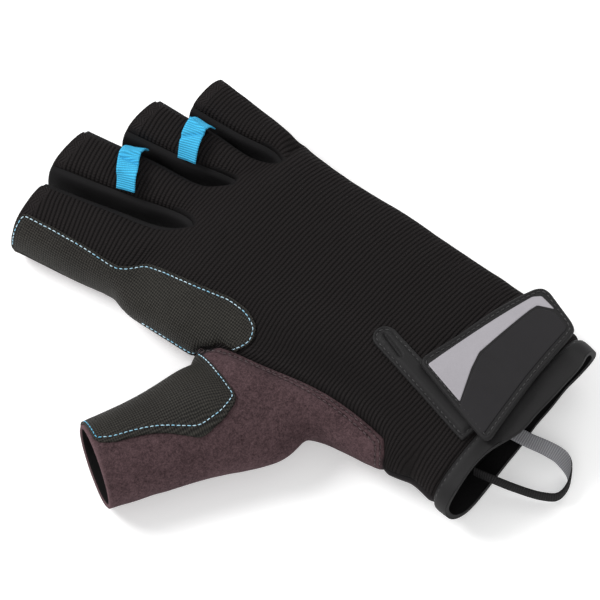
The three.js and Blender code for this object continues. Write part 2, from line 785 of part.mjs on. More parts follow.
function strapLayer(lift, thickness) {
  const columns = strapColumns;
  const rows = strapRows;
  const points = [];
  const triangles = [];
  for (const height of [lift + thickness, lift]) {
    for (let r = 0; r <= rows; r += 1) {
      for (let c = 0; c <= columns; c += 1) {
        const x = strapCorner.x - strapMargin + (c / columns) * (strapLength + 2 * strapMargin);
        const y = strapCorner.y - strapMargin + (r / rows) * (strapBreadth + 2 * strapMargin);
        points.push(new THREE.Vector3(x, y, strapHeight(x, y) + height));
      }
    }
  }
  const width = columns + 1;
  const under = width * (rows + 1);
  for (let r = 0; r < rows; r += 1) {
    for (let c = 0; c < columns; c += 1) {
      const a = r * width + c;
      triangles.push([a, a + 1, a + width + 1], [a, a + width + 1, a + width]);
      const b = a + under;
      triangles.push([b, b + width + 1, b + 1], [b, b + width, b + width + 1]);
    }
  }
  const rim = [];
  for (let c = 0; c <= columns; c += 1) rim.push(c);
  for (let r = 1; r <= rows; r += 1) rim.push(r * width + columns);
  for (let c = columns - 1; c >= 0; c -= 1) rim.push(rows * width + c);
  for (let r = rows - 1; r >= 1; r -= 1) rim.push(r * width);
  rim.forEach((a, i) => {
    const b = rim[(i + 1) % rim.length];
    triangles.push([b, a, a + under], [b, a + under, b + under]);
  });
  return solidOf(geometryOf(points, triangles));
}

const eastward = new THREE.Vector3(1, 0, 0);
const northward = new THREE.Vector3(0, 1, 0);

function strapPiece(name, edge, lift, thickness, finish) {
  const outline = scaled(edge, strapCorner.x, strapLength, strapCorner.y, strapBreadth);
  const solid = strapLayer(lift, thickness).intersect(prism(outline, eastward, northward, 0));
  addPiece(name, geometryFrom(solid), finish);
}

strapPiece('wrist_strap', strapEdge, 0, strapThickness, trimFinish);
const facingLift = strapThickness + layerGap;
strapPiece('reflective_patch', silverEdge, facingLift, facingThickness, silverFinish);
strapPiece('strap_panel', panelEdge, facingLift, facingThickness, panelFinish);

// A flat tape along a run of centres, each with the direction of its breadth.
function tape(centres, breadths, breadth, thickness) {
  const points = [];
  const triangles = [];
  centres.forEach((centre, i) => {
    const before = centres[Math.max(0, i - 1)];
    const after = centres[Math.min(centres.length - 1, i + 1)];
    const along = new THREE.Vector3().subVectors(after, before).normalize();
    const across = breadths[i].clone().addScaledVector(along, -breadths[i].dot(along)).normalize();
    const up = new THREE.Vector3().crossVectors(across, along);
    for (const [a, b] of [[-1, -1], [1, -1], [1, 1], [-1, 1]]) {
      const corner = centre.clone().addScaledVector(across, (a * breadth) / 2);
      points.push(corner.addScaledVector(up, (b * thickness) / 2));
    }
  });
  for (let i = 0; i + 1 < centres.length; i += 1) {
    for (let k = 0; k < 4; k += 1) {
      const a = 4 * i + k;
      const b = 4 * i + ((k + 1) % 4);
      triangles.push([a, b + 4, b], [a, a + 4, b + 4]);
    }
  }
  const last = 4 * (centres.length - 1);
  triangles.push([0, 1, 2], [0, 2, 3]);
  triangles.push([last, last + 2, last + 1], [last, last + 3, last + 2]);
  return geometryOf(points, triangles);
}

const tabSteps = 10;
pullTabs.forEach((tab) => {
  const centres = [];
  for (let i = 0; i <= tabSteps; i += 1) {
    const share = i / tabSteps;
    const x = mix(tab.fromAcross, tab.toAcross, share) * handBreadth;
    const y = mix(tab.fromAlong, tab.toAlong, share) * handLength;
    const rise = tabRise * Math.sin(Math.PI * share) ** tabFullness;
    const under = [-1, 0, 1].flatMap((a) => [-1, 0, 1].map((b) => (
      skinHeight(x + a * tabThickness, y + (b * tabBreadth) / 2))));
    const height = Math.max(...under) + layerGap + tabThickness / 2;
    centres.push(new THREE.Vector3(x, y, height + rise));
  }
  const breadths = centres.map(() => northward);
  addPiece(tab.name, tape(centres, breadths, tabBreadth, tabThickness), tabFinish);
});

const loopCentres = loopRun.map((row) => new THREE.Vector3(
  loopCorner.x + row.across * loopBreadth,
  loopCorner.y - row.along * loopReach,
  row.height * loopTapeBreadth,
));
const loopBreadths = loopRun.map((row) => {
  const angle = (row.upright * Math.PI) / 2;
  return new THREE.Vector3(Math.cos(angle), 0, Math.sin(angle));
});
const loopShape = tape(loopCentres, loopBreadths, loopTapeBreadth, loopTapeThickness);
addPiece('hang_loop', loopShape, tapeFinish);

export default glove;
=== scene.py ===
"""A fingerless climbing glove for the right hand, lying palm down, dressed for its picture.

Shapes are worked out in millimetres and made in metres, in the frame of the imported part.
"""

import math

import bpy
import numpy as np
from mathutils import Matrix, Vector
from mathutils.bvhtree import BVHTree
from mathutils.geometry import delaunay_2d_cdt
from mathutils.kdtree import KDTree


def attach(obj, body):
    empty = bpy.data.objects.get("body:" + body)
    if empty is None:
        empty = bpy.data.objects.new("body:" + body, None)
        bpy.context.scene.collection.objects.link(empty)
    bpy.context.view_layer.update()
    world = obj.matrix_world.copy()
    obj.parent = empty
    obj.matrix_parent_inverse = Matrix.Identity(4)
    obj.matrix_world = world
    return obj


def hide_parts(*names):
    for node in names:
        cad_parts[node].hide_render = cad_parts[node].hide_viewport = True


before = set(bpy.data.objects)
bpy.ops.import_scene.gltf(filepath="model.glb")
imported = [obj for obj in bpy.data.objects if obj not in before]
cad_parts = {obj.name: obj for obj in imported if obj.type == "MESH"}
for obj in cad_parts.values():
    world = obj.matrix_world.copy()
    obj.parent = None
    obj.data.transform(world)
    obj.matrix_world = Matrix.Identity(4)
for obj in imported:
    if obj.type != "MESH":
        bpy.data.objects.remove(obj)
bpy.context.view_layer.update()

bl_info = {
    "name": "Climbing Glove",
    "version": (1, 0, 0),
    "blender": (4, 5, 0),
    "location": "View3D > Sidebar > Glove",
    "description": "Dresses the climbing glove in knit, suede, grip leather, trim, tape and thread",
    "category": "Add Mesh",
}

MM = 0.001

# The skin. These sizes and tables are those of the part's own source.
HAND_LENGTH = 136.0
HAND_BREADTH = 84.0
CUFF_BREADTH = 79.0
HAND_DEPTH = 26.0
CUFF_DEPTH = 25.0
KNUCKLE_DEPTH = 20.5
CUFF_BEHIND = 70.0
SIDE_HEIGHT = 11.0
WEB_LENGTH = 2.0
FINGER_CORNER = 1.09
PALM_SINK = 0.4
BACK_POWER = 2.4
PALM_POWER = 2.8
EDGE_SHARE = 0.93


def table(columns, rows):
    """Rows of numbers as dictionaries with the names of their columns."""
    names = columns.split()
    return [dict(zip(names, row)) for row in rows]


FINGERS = table(
    "name column length base_breadth tip_breadth tip_depth lean base_lean end_slant",
    [
        ("index", 0, 47, 25.6, 20.4, 22.5, -14.5, -1.6, 8),
        ("middle", 2, 51.5, 15.2, 20.8, 22, -14.2, -0.6, 0),
        ("ring", 4, 46.5, 11.4, 18.6, 22, -7.8, 0.1, -2),
        ("little", 6, 39.5, 9.3, 16.4, 18.5, 1.2, 2.3, 0),
    ],
)
HAND_ROWS = table(
    "along flare swell shift seam seam_along side_along lift",
    [
        (0.0, -0.5, 0.0, 0.045, 0.88, 0.0, 0.0, 0.06),
        (0.052, -0.4, 0.1, 0.055, 0.9, 0.0, 0.0, 0.05),
        (0.132, -0.5, 0.3, 0.068, 0.89, 0.0, 0.0, 0.0),
        (0.235, 0.2, 0.6, 0.054, 0.89, 0.0, -0.03, 0.0),
        (0.426, 0.9, 0.9, 0.021, 0.8, 0.0, 0.0, 0.0),
        (0.588, 1.2, 1.0, 0.006, 0.86, 0.0, 0.0, 0.0),
        (0.721, 0.9, 1.0, -0.003, 0.93, -0.005, 0.05, 0.0),
        (0.816, 0.8, 1.0, -0.006, 0.92, 0.0, 0.0, 0.0),
        (0.912, 1.0, 0.3, -0.008, 0.92, 0.0, 0.0, 0.0),
        (1.0, 1.2, -3.2, -0.006, 0.92, 0.0, 0.0, 0.0),
    ],
)
BACK_COLUMNS = table(
    "share setback back_mouth palm_mouth",
    [
        (0.0, 0.0, 0.0, 0.015),
        (0.19, -0.01, 0.0, 0.01),
        (0.374, 0.014, 0.028, 0.0),
        (0.512, -0.009, 0.03, -0.005),
        (0.64, 0.012, 0.03, -0.013),
        (0.765, 0.033, 0.027, -0.015),
        (0.873, 0.061, 0.022, -0.018),
        (0.94, 0.054, 0.012, -0.015),
        (1.0, 0.05, 0.005, -0.01),
    ],
)
FINGER_RINGS = table(
    "along tip lift",
    [(0.143, 0.0, 0.02), (0.42, 0.43, 0.02), (0.7, 0.75, 0.02), (1.0, 1.0, 0.03)],
)
THUMB_LENGTH = 70.0
THUMB_MOUTH_BREADTH = 27.5
THUMB_MOUTH_DEPTH = 24.0
THUMB_TURN = math.radians(27)
THUMB_ROOT = (-37.0, 1.0)
THUMB_RINGS = table(
    "along breadth depth towards_index turn",
    [
        (0.112, 1.8, 1.0, 0.112, -0.22),
        (0.23, 1.57, 1.0, 0.012, 0.15),
        (0.4, 1.37, 1.08, 0.01, 0.75),
        (0.67, 1.135, 1.04, -0.006, 1.05),
        (1.0, 1.0, 1.0, -0.007, 1.1),
    ],
)
THUMB_FIRST, THUMB_LAST = 3, 6
RING_TURNS = (180, 135, 90, 45, 0, -45, -90, -135)
GUSSETS = {2: "gusset_index_middle", 4: "gusset_middle_ring", 6: "gusset_ring_little"}
FIT_ROUNDS = 12
SKIN_LEVELS = 4
# How gently the palm's lowest cloth is pressed flat, in millimetres.
FLOOR_SOFTNESS = 0.5


def mix(a, b, share):
    """A value a share of the way from a to b."""
    return a + (b - a) * share


def smoothstep(low, high, value):
    """A smooth rise from 0 at low to 1 at high."""
    t = np.clip((np.asarray(value, float) - low) / (high - low), 0, 1)
    return t * t * (3 - 2 * t)


def unit(vectors):
    """Vectors of length one."""
    vectors = np.asarray(vectors, float)
    length = np.linalg.norm(vectors, axis=-1, keepdims=True)
    return vectors / np.maximum(length, 1e-12)


def crown(across, power):
    """How far a rounded box section reaches, from 0 at its edge to 1 in its middle."""
    return (1 - min(1.0, abs(across)) ** power) ** (1 / power)


class Cage:
    """The few points that the skin is smoothed from: x, y, z, and the knit's own across and along."""

    def __init__(self):
        self.points = []
        self.numbers = {}
        self.faces = []
        self.panels = []

    def point(self, name, place, across, along):
        self.numbers[name] = len(self.points)
        self.points.append([*place, across, along])

    def at(self, name):
        return np.array(self.points[self.numbers[name]])

    def face(self, panel, names):
        self.faces.append([self.numbers[name] for name in reversed(names)])
        self.panels.append(panel)


def add_hand_row(cage, r):
    """One row of points across the hand, on its back, its palm and both sides."""
    row = HAND_ROWS[r]
    is_mouth, is_web = r == 0, r == len(HAND_ROWS) - 1
    half = mix(CUFF_BREADTH, HAND_BREADTH, row["flare"]) / 2
    depth = mix(CUFF_DEPTH, HAND_DEPTH, row["swell"])
    centre = row["shift"] * HAND_BREADTH
    y = row["along"] * HAND_LENGTH - CUFF_BEHIND
    bottom = row["lift"] * HAND_DEPTH - PALM_SINK
    backs = []
    for i, column in enumerate(BACK_COLUMNS):
        x = centre + half * mix(-row["seam"], EDGE_SHARE, column["share"])
        place = (x - centre) / half
        move = (row["seam_along"] if i == 0 else 0) - (column["setback"] if is_web else 0)
        back_y = y + HAND_LENGTH * (move - (column["back_mouth"] if is_mouth else 0))
        palm_y = y + HAND_LENGTH * (move - (column["palm_mouth"] if is_mouth else 0))
        top = SIDE_HEIGHT + (depth - SIDE_HEIGHT) * crown(place, BACK_POWER)
        low = mix(SIDE_HEIGHT, bottom, crown(place, PALM_POWER))
        backs.append(np.array([x, back_y, top]))
        cage.point(f"row{r}palm{i}", (x, palm_y, low), x, palm_y)
    steps = [0] + [np.linalg.norm(b - a) for a, b in zip(backs, backs[1:])]
    across = np.cumsum(steps)
    across -= across[3]
    for i, place in enumerate(backs):
        cage.point(f"row{r}back{i}", place, across[i], place[1])
    in_hole = THUMB_FIRST < r < THUMB_LAST
    if not in_hole:
        side_y = y + row["side_along"] * HAND_LENGTH
        side = np.array([centre - half, side_y, SIDE_HEIGHT])
        reach = np.linalg.norm(side - backs[0])
        cage.point(f"row{r}thumb_side", side, across[0] - reach, side_y)
    web = BACK_COLUMNS[-1]["setback"] * HAND_LENGTH if is_web else 0
    side = np.array([centre + half, y - web, SIDE_HEIGHT])
    reach = np.linalg.norm(side - backs[-1])
    cage.point(f"row{r}little_side", side, across[-1] + reach, y - web)


def hand_loop(r):
    """The names of the points round one row of the hand."""
    count = len(BACK_COLUMNS)
    back = [f"row{r}back{i}" for i in range(count)]
    palm = [f"row{r}palm{i}" for i in reversed(range(count))]
    return [f"row{r}thumb_side", *back, f"row{r}little_side", *palm]


def add_hand(cage):
    """The hand, from the mouth of the cuff to the finger webs."""
    rows = len(HAND_ROWS)
    for r in range(rows):
        add_hand_row(cage, r)
    for r in range(rows - 1):
        near, far = hand_loop(r), hand_loop(r + 1)
        count = len(near)
        for i in range(count):
            following = (i + 1) % count
            if (i == 0 or following == 0) and THUMB_FIRST <= r < THUMB_LAST:
                continue
            panel = "cuff_binding" if r == 0 else "knit_back" if i < len(BACK_COLUMNS) + 1 else "palm_suede"
            cage.face(panel, [near[i], far[i], far[following], near[following]])


def add_finger(cage, finger):
    """One finger, from the web to its cut end."""
    row, c = len(HAND_ROWS) - 1, finger["column"]
    last = len(BACK_COLUMNS) - 1
    sides = {0: f"row{row}thumb_side", last: f"row{row}little_side"}
    thumbward_side = sides.get(c, f"web{c}")
    outward_side = sides.get(c + 2, f"web{c + 2}")
    near = [
        thumbward_side, f"row{row}back{c}", f"row{row}back{c + 1}", f"row{row}back{c + 2}",
        outward_side, f"row{row}palm{c + 2}", f"row{row}palm{c + 1}", f"row{row}palm{c}",
    ]
    start = (cage.at(near[2]) + cage.at(near[6]))[:3] / 2
    top_across = cage.at(near[2])[3]
    slope = finger["lean"] / math.hypot(finger["lean"], finger["length"])
    for r, ring in enumerate(FINGER_RINGS):
        breadth = mix(finger["base_breadth"], finger["tip_breadth"], ring["tip"])
        depth = mix(KNUCKLE_DEPTH, finger["tip_depth"], ring["along"])
        slant = math.tan(math.radians(finger["end_slant"] * ring["along"]))
        centre_x = start[0] + mix(finger["base_lean"], finger["lean"], ring["along"])
        centre_y = start[1] + finger["length"] * ring["along"]
        centre_z = depth * (0.5 + ring["lift"]) - PALM_SINK
        far = []
        for i, turn in enumerate(RING_TURNS):
            angle = math.radians(turn)
            corner = FINGER_CORNER if i % 2 else 1
            x = breadth / 2 * corner * math.cos(angle)
            z = centre_z + depth / 2 * corner * math.sin(angle)
            name = f"{finger['name']}{r}point{i}"
            round_turn = (90 - turn + 180) % 360 - 180
            across = top_across + (breadth + depth) / 4 * math.radians(round_turn)
            along = centre_y + x * slope * min(1, 2 * ring["along"])
            cage.point(name, (centre_x + x, centre_y + x * slant, z), across, along)
            far.append(name)
        for i in range(len(near)):
            following = (i + 1) % len(near)
            thumbward, outward = i in (0, 7), i in (3, 4)
            column = c if thumbward else c + 2
            panel = "knit_back" if i < 4 else "palm_suede"
            if (thumbward or outward) and column in GUSSETS:
                panel = GUSSETS[column]
            cage.face(panel, [near[i], far[i], far[following], near[following]])
        near = far


def add_thumb(cage):
    """The thumb's tube, from the hole in the hand's side to its cut end."""
    rows = list(range(THUMB_FIRST, THUMB_LAST + 1))
    base = [f"row{THUMB_LAST}thumb_side", *[f"row{r}back0" for r in reversed(rows)],
            f"row{THUMB_FIRST}thumb_side", *[f"row{r}palm0" for r in rows]]
    out = np.array([-math.cos(THUMB_TURN), math.sin(THUMB_TURN), 0])
    sideways = np.array([math.sin(THUMB_TURN), math.cos(THUMB_TURN), 0])
    near = base
    for r, ring in enumerate(THUMB_RINGS):
        half_breadth = THUMB_MOUTH_BREADTH / 2 * ring["breadth"]
        half_depth = THUMB_MOUTH_DEPTH / 2 * ring["depth"]
        turn = THUMB_TURN * ring["turn"]
        across = np.array([math.sin(turn), math.cos(turn), 0])
        centre = np.array([*THUMB_ROOT, half_depth]) + out * THUMB_LENGTH * ring["along"]
        centre = centre + sideways * ring["towards_index"] * THUMB_MOUTH_BREADTH
        far = []
        for i in range(len(base)):
            angle = i / len(base) * 2 * math.pi
            place = centre + across * half_breadth * math.cos(angle)
            place[2] += half_depth * math.sin(angle)
            name = f"thumb{r}point{i}"
            cage.point(name, place, half_breadth * angle, THUMB_LENGTH * ring["along"])
            far.append(name)
        for i in range(len(near)):
            following = (i + 1) % len(near)
            cage.face("thumb_suede", [near[following], far[following], far[i], near[i]])
        near = far


def corner_pairs(faces):
    """Each corner of the faces, and the corner that follows it."""
    return faces.ravel(), np.roll(faces, -1, axis=1).ravel()


def edges_of(faces, count):
    """The two ends of each edge of quads, how many faces it has, and each corner's edge."""
    a, b = corner_pairs(faces)
    key = np.minimum(a, b) * count + np.maximum(a, b)
    keys, inverse, uses = np.unique(key, return_inverse=True, return_counts=True)
    return keys // count, keys % count, uses, inverse


def add_up(numbers, values, count):
    """The sum of the values that belong to each number."""
    return np.stack([np.bincount(numbers, values[:, k], count) for k in range(values.shape[1])], 1)


def across_edges(points, low, high):
    """For each point, the sum of the points at the far ends of its edges."""
    return add_up(low, points[high], len(points)) + add_up(high, points[low], len(points))


def marked(count, *numbers):
    """Which of the points are among the numbers."""
    found = np.zeros(count, bool)
    found[np.concatenate(numbers)] = True
    return found


def edge_counts(low, high, count):
    """How many edges meet at each point, as a column."""
    return (np.bincount(low, minlength=count) + np.bincount(high, minlength=count))[:, None]


def subdivided(points, faces, panels):
    """One round of smooth subdivision, with each opening's border as a smooth curve."""
    count = len(points)
    low, high, uses, edge_of_corner = edges_of(faces, count)
    face_points = points[faces].mean(axis=1)
    face_sum = add_up(edge_of_corner, np.repeat(face_points, 4, axis=0), len(low))
    rim = uses == 1
    ends = points[low] + points[high]
    edge_points = np.where(rim[:, None], ends / 2, (ends + face_sum) / 4)
    n = edge_counts(low, high, count)
    around = add_up(faces.ravel(), np.repeat(face_points, 4, axis=0), count)
    beside = across_edges(points, low, high)
    moved = points * (n - 2) / n + around / n**2 + beside / n**2
    rim_sum = across_edges(points, low[rim], high[rim])
    on_rim = marked(count, low[rim], high[rim])
    moved[on_rim] = (points[on_rim] * 6 + rim_sum[on_rim]) / 8
    edge_number = (edge_of_corner + count).reshape(faces.shape)
    centre = np.arange(len(faces)) + count + len(low)
    quads = [
        np.stack([faces[:, i], edge_number[:, i], centre, edge_number[:, i - 1]], 1) for i in range(4)
    ]
    new_faces = np.stack(quads, 1).reshape(-1, 4)
    return np.vstack([moved, edge_points, face_points]), new_faces, np.repeat(panels, 4)


def limit_points(points, faces):
    """Where each point of the cage ends up on the smooth surface."""
    count = len(points)
    low, high, uses, _ = edges_of(faces, count)
    n = edge_counts(low, high, count)
    beside = across_edges(points, low, high)
    opposite = add_up(faces.ravel(), points[np.roll(faces, 2, axis=1).ravel()], count)
    limit = (points * n**2 + beside * 4 + opposite) / (n * (n + 5))
    rim = uses == 1
    rim_sum = across_edges(points, low[rim], high[rim])
    on_rim = marked(count, low[rim], high[rim])
    limit[on_rim] = (points[on_rim] * 4 + rim_sum[on_rim]) / 6
    return limit


def normals_of(points, faces):
    """The outward direction at each point of a mesh of quads or triangles."""
    if faces.shape[1] == 4:
        a, b, c, d = (points[faces[:, i], :3] for i in range(4))
        normal = np.cross(c - a, d - b)
    else:
        a, b, c = (points[faces[:, i], :3] for i in range(3))
        normal = np.cross(b - a, c - a)
    each = np.repeat(normal, faces.shape[1], axis=0)
    return unit(add_up(faces.ravel(), each, len(points)))


def nearest(points, targets):
    """How far each point is from the nearest target, and which one that is."""
    tree = KDTree(len(targets))
    for i, target in enumerate(targets):
        tree.insert(target, i)
    tree.balance()
    _, numbers, distances = zip(*(tree.find(point) for point in points))
    return np.array(distances), np.array(numbers)


class Skin:
    """The glove's smooth surface: points, faces, panels, normals and distances to seams."""

    def __init__(self, wall):
        cage = Cage()
        add_hand(cage)
        row = len(HAND_ROWS) - 1
        for c in GUSSETS:
            middle = (cage.at(f"row{row}back{c}") + cage.at(f"row{row}palm{c}")) / 2
            middle[1] += WEB_LENGTH
            cage.point(f"web{c}", middle[:3], middle[3], middle[4])
        for finger in FINGERS:
            add_finger(cage, finger)
        add_thumb(cage)
        points, faces = np.array(cage.points, float), np.array(cage.faces)
        panels = np.array(cage.panels)
        wanted = points.copy()
        for _ in range(FIT_ROUNDS):
            points += wanted - limit_points(points, faces)
        for _ in range(SKIN_LEVELS):
            points, faces, panels = subdivided(points, faces, panels)
        self.knit = points[:, 3:]
        points = points[:, :3].copy()
        z = points[:, 2]
        pressed = FLOOR_SOFTNESS * np.exp(np.minimum(z - FLOOR_SOFTNESS, 0) / FLOOR_SOFTNESS)
        z = np.where(z > FLOOR_SOFTNESS, z, pressed)
        points[:, 2] = z + (wall - FLOOR_SOFTNESS * math.exp(-1) * smoothstep(2, 0, z))
        self.faces, self.panels = faces, panels
        self.normals = normals_of(points, faces)
        self.outer = points + self.normals * wall
        self.find_seams()

    def find_seams(self):
        """Marks the seams between panels and the cut ends, and how far each point is from them."""
        count = len(self.outer)
        low, high, uses, inverse = edges_of(self.faces, count)
        names, number = np.unique(self.panels, return_inverse=True)
        each = np.repeat(number, 4)
        smallest = np.full(len(low), len(names))
        largest = np.full(len(low), -1)
        np.minimum.at(smallest, inverse, each)
        np.maximum.at(largest, inverse, each)
        seam = smallest != largest
        mouth = uses == 1
        self.seam_points = np.unique(np.concatenate([low[seam], high[seam]]))
        self.mouth_points = np.unique(np.concatenate([low[mouth], high[mouth]]))
        self.seam_sides = {}
        for a, b, s, t in zip(low[seam], high[seam], smallest[seam], largest[seam]):
            pair = (str(names[s]), str(names[t]))
            self.seam_sides.setdefault(pair, set()).update((int(a), int(b)))
        self.to_seam, _ = nearest(self.outer, self.outer[self.seam_points])
        self.to_mouth, _ = nearest(self.outer, self.outer[self.mouth_points])

    def tree(self, panels):
        """A tree to drop points onto some of the panels."""
        wanted = np.isin(self.panels, panels)
        return BVHTree.FromPolygons(self.outer.tolist(), self.faces[wanted].tolist())


def waves(points, size, seed, count=12):
    """Slow smooth waves over the surface, from -1 to 1, with a length of about size millimetres."""
    picker = np.random.default_rng(seed)
    total = np.zeros(len(points))
    for _ in range(count):
        direction = unit(picker.normal(size=3)) / size * picker.uniform(0.7, 1.5)
        total += np.sin(points @ direction * 2 * math.pi + picker.uniform(0, 2 * math.pi))
    return total / 6.4


def seam_path(skin, pair, axis, panel, reach, height):
    """A line on a panel at a distance from one of its seams, and the directions out of the cloth."""
    numbers = np.array(sorted(skin.seam_sides[pair]))
    numbers = numbers[np.argsort(skin.knit[numbers, axis])]
    line = smooth_line(skin.outer[numbers][::5], 0.6)
    tree = skin.tree([panel])
    normals = np.array([tree.find_nearest(Vector(p))[1] for p in line])
    side = unit(np.cross(normals, np.gradient(line, axis=0)))
    middle = len(line) // 2
    gaps = [tree.find_nearest(Vector(line[middle] + sign * side[middle] * reach))[3] for sign in (1, -1)]
    if gaps[1] < gaps[0]:
        side = -side
    found = [tree.find_nearest(Vector(p)) for p in line + side * reach]
    places = np.array([f[0] for f in found])
    normals = unit(np.array([f[1] for f in found]))
    _, close = nearest(places, skin.outer)
    return places + normals * (height[close] + 0.06)[:, None], normals


def fold(points, start, end, depth, width):
    """A crease or ridge along a line, as a height at each point."""
    start, end = np.array(start, float), np.array(end, float)
    run = end - start
    share = np.clip((points - start) @ run / (run @ run), 0, 1)
    distance = np.linalg.norm(points - start - share[:, None] * run, axis=1)
    ends = smoothstep(0, 0.25, share) * smoothstep(1, 0.75, share)
    return depth * np.exp(-((distance / width) ** 2)) * ends


def made_object(name, points, faces, finishes, slot, replaces=(), coordinates=None, marks=None,
                finish_numbers=None):
    """A finished piece from points in millimetres: its mesh, finishes and body. Its slot is not used."""
    name = "glove_" + name
    mesh = bpy.data.meshes.new(name)
    mesh.from_pydata((np.asarray(points) * MM).tolist(), [], [list(map(int, f)) for f in faces])
    for finish in finishes:
        mesh.materials.append(finish)
    if finish_numbers is not None:
        mesh.polygons.foreach_set("material_index", np.asarray(finish_numbers, np.int32))
    if coordinates is not None:
        corners = np.zeros(len(mesh.loops), np.int32)
        mesh.loops.foreach_get("vertex_index", corners)
        layer = mesh.uv_layers.new(name="cloth")
        layer.data.foreach_set("uv", (np.asarray(coordinates)[corners] * MM).astype(np.float32).ravel())
    for mark, values in (marks or {}).items():
        attribute = mesh.attributes.new(mark, "FLOAT", "POINT")
        attribute.data.foreach_set("value", np.asarray(values, np.float32))
    mesh.update()
    mesh.validate()
    piece = bpy.data.objects.new(name, mesh)
    bpy.context.scene.collection.objects.link(piece)
    mesh.shade_smooth()
    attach(piece, "root")
    if replaces:
        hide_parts(*replaces)
    return piece


def rim_of(faces):
    """The directed border edges of some faces."""
    a, b = corner_pairs(faces)
    _, _, uses, inverse = edges_of(faces, int(faces.max()) + 1)
    rim = uses[inverse] == 1
    return a[rim], b[rim]


def shell(skin, panel, wall, gap, bulge, height):
    """One panel of the skin with its wall. Its cut ends are rounded and its seams pulled in."""
    picked = skin.faces[skin.panels == panel]
    used, inverse = np.unique(picked, return_inverse=True)
    faces = inverse.reshape(-1, 4)
    normals = skin.normals[used]
    base = skin.outer[used]
    a, b = rim_of(faces)
    is_mouth = np.isin(used, skin.mouth_points)
    inward = np.cross(normals[a] + normals[b], base[b] - base[a])
    inward = unit(inward)
    pull = add_up(a, inward, len(used)) + add_up(b, inward, len(used))
    pull = unit(pull)
    reach = np.where(is_mouth, bulge, gap / 2)[:, None]
    outer = base + pull * reach + normals * height[used][:, None]
    inner = base + pull * np.where(is_mouth, bulge, 0)[:, None] - normals * wall
    on_rim = marked(len(used), a, b)
    middle_number = np.full(len(used), -1)
    middle_number[on_rim] = np.arange(on_rim.sum()) + 2 * len(used)
    swell = np.where(is_mouth, bulge, 0)[:, None]
    middle = (0.55 * outer + 0.45 * inner - pull * swell)[on_rim]
    count = len(used)
    quads = [faces, faces[:, ::-1] + count]
    quads.append(np.stack([b, a, middle_number[a], middle_number[b]], 1))
    quads.append(np.stack([middle_number[b], middle_number[a], a + count, b + count], 1))
    numbers = np.concatenate([np.full(len(q), n) for q, n in zip(quads, (0, 1, 0, 0))])
    points = np.vstack([outer, inner, middle])
    take = np.concatenate([used, used, used[on_rim]])
    return points, np.vstack(quads), numbers, take


# Flat outlines: rounding, even spacing, insets, distances and filling with triangles.


def rounded(points, reach):
    """A closed outline with its corners cut round, three times over."""
    points = np.asarray(points, float)
    for _ in range(3):
        following = np.roll(points, -1, axis=0)
        run = following - points
        length = np.linalg.norm(run, axis=1, keepdims=True)
        cut = run / np.maximum(length, 1e-9) * np.minimum(length * 0.27, reach)
        points = np.stack([points + cut, following - cut], 1).reshape(-1, points.shape[1])
        reach /= 2
    return points


def between(places, along, values):
    """Rows of values at some places along a line."""
    return np.stack([np.interp(places, along, column) for column in values.T], 1)


def evenly(points, spacing, closed=True):
    """Points at even distances along a line of points."""
    points = np.asarray(points, float)
    if closed:
        points = np.vstack([points, points[:1]])
    steps = np.linalg.norm(np.diff(points, axis=0), axis=1)
    along = np.concatenate([[0], np.cumsum(steps)])
    count = max(2, int(round(along[-1] / spacing)))
    places = np.linspace(0, along[-1], count, endpoint=not closed)
    return between(places, along, points)


def smooth_line(points, spacing):
    """A smooth curve through points, at even distances."""
    points = np.asarray(points, float)
    last = len(points) - 1
    fine = []
    for i in range(last):
        p = [points[min(max(i + k, 0), last)] for k in (-1, 0, 1, 2)]
        gaps = [max(np.linalg.norm(p[k + 1] - p[k]) ** 0.5, 1e-3) for k in range(3)]
        m1 = (p[2] - p[1]) + gaps[1] * ((p[1] - p[0]) / gaps[0] - (p[2] - p[0]) / (gaps[0] + gaps[1]))
        m2 = (p[2] - p[1]) + gaps[1] * ((p[3] - p[2]) / gaps[2] - (p[3] - p[1]) / (gaps[1] + gaps[2]))
        for t in np.linspace(0, 1, 16, endpoint=False):
            fine.append(
                (2 * t**3 - 3 * t**2 + 1) * p[1] + (t**3 - 2 * t**2 + t) * m1
                + (3 * t**2 - 2 * t**3) * p[2] + (t**3 - t**2) * m2
            )
    fine.append(points[-1])
    return evenly(fine, spacing, closed=False)


def counterclockwise(outline):
    """The outline, turned so that its inside is on the left."""
    x, y = outline[:, 0], outline[:, 1]
    area = np.sum(x * np.roll(y, -1) - np.roll(x, -1) * y)
    return outline if area > 0 else outline[::-1]


def distance_to_line(points, line, closed=True):
    """How far each flat point is from a line of points."""
    start = line if closed else line[:-1]
    end = np.roll(line, -1, axis=0) if closed else line[1:]
    run = end - start
    square = np.maximum((run**2).sum(1), 1e-12)
    best = np.full(len(points), 1e9)
    for first in range(0, len(points), 400):
        part = points[first:first + 400, None, :]
        share = np.clip(((part - start) * run).sum(2) / square, 0, 1)
        gap = np.linalg.norm(part - start - share[..., None] * run, axis=2)
        best[first:first + 400] = gap.min(1)
    return best


def is_inside(points, outline):
    """Which flat points lie inside a closed outline."""
    x, y = points[:, 0][:, None], points[:, 1][:, None]
    x1, y1 = outline[:, 0], outline[:, 1]
    x2, y2 = np.roll(x1, -1), np.roll(y1, -1)
    crosses = (y1 > y) != (y2 > y)
    with np.errstate(divide="ignore", invalid="ignore"):
        at = x1 + (y - y1) / (y2 - y1) * (x2 - x1)
    return (crosses & (x < at)).sum(1) % 2 == 1


def inset(outline, distance, spacing=None):
    """A closed outline moved inwards, without the parts where it would cross itself."""
    run = np.roll(outline, -1, axis=0) - np.roll(outline, 1, axis=0)
    moved = outline + unit(np.stack([-run[:, 1], run[:, 0]], 1)) * distance
    keep = distance_to_line(moved, outline) > distance * 0.96
    moved = moved[keep & is_inside(moved, outline)]
    return evenly(moved, spacing) if spacing else moved


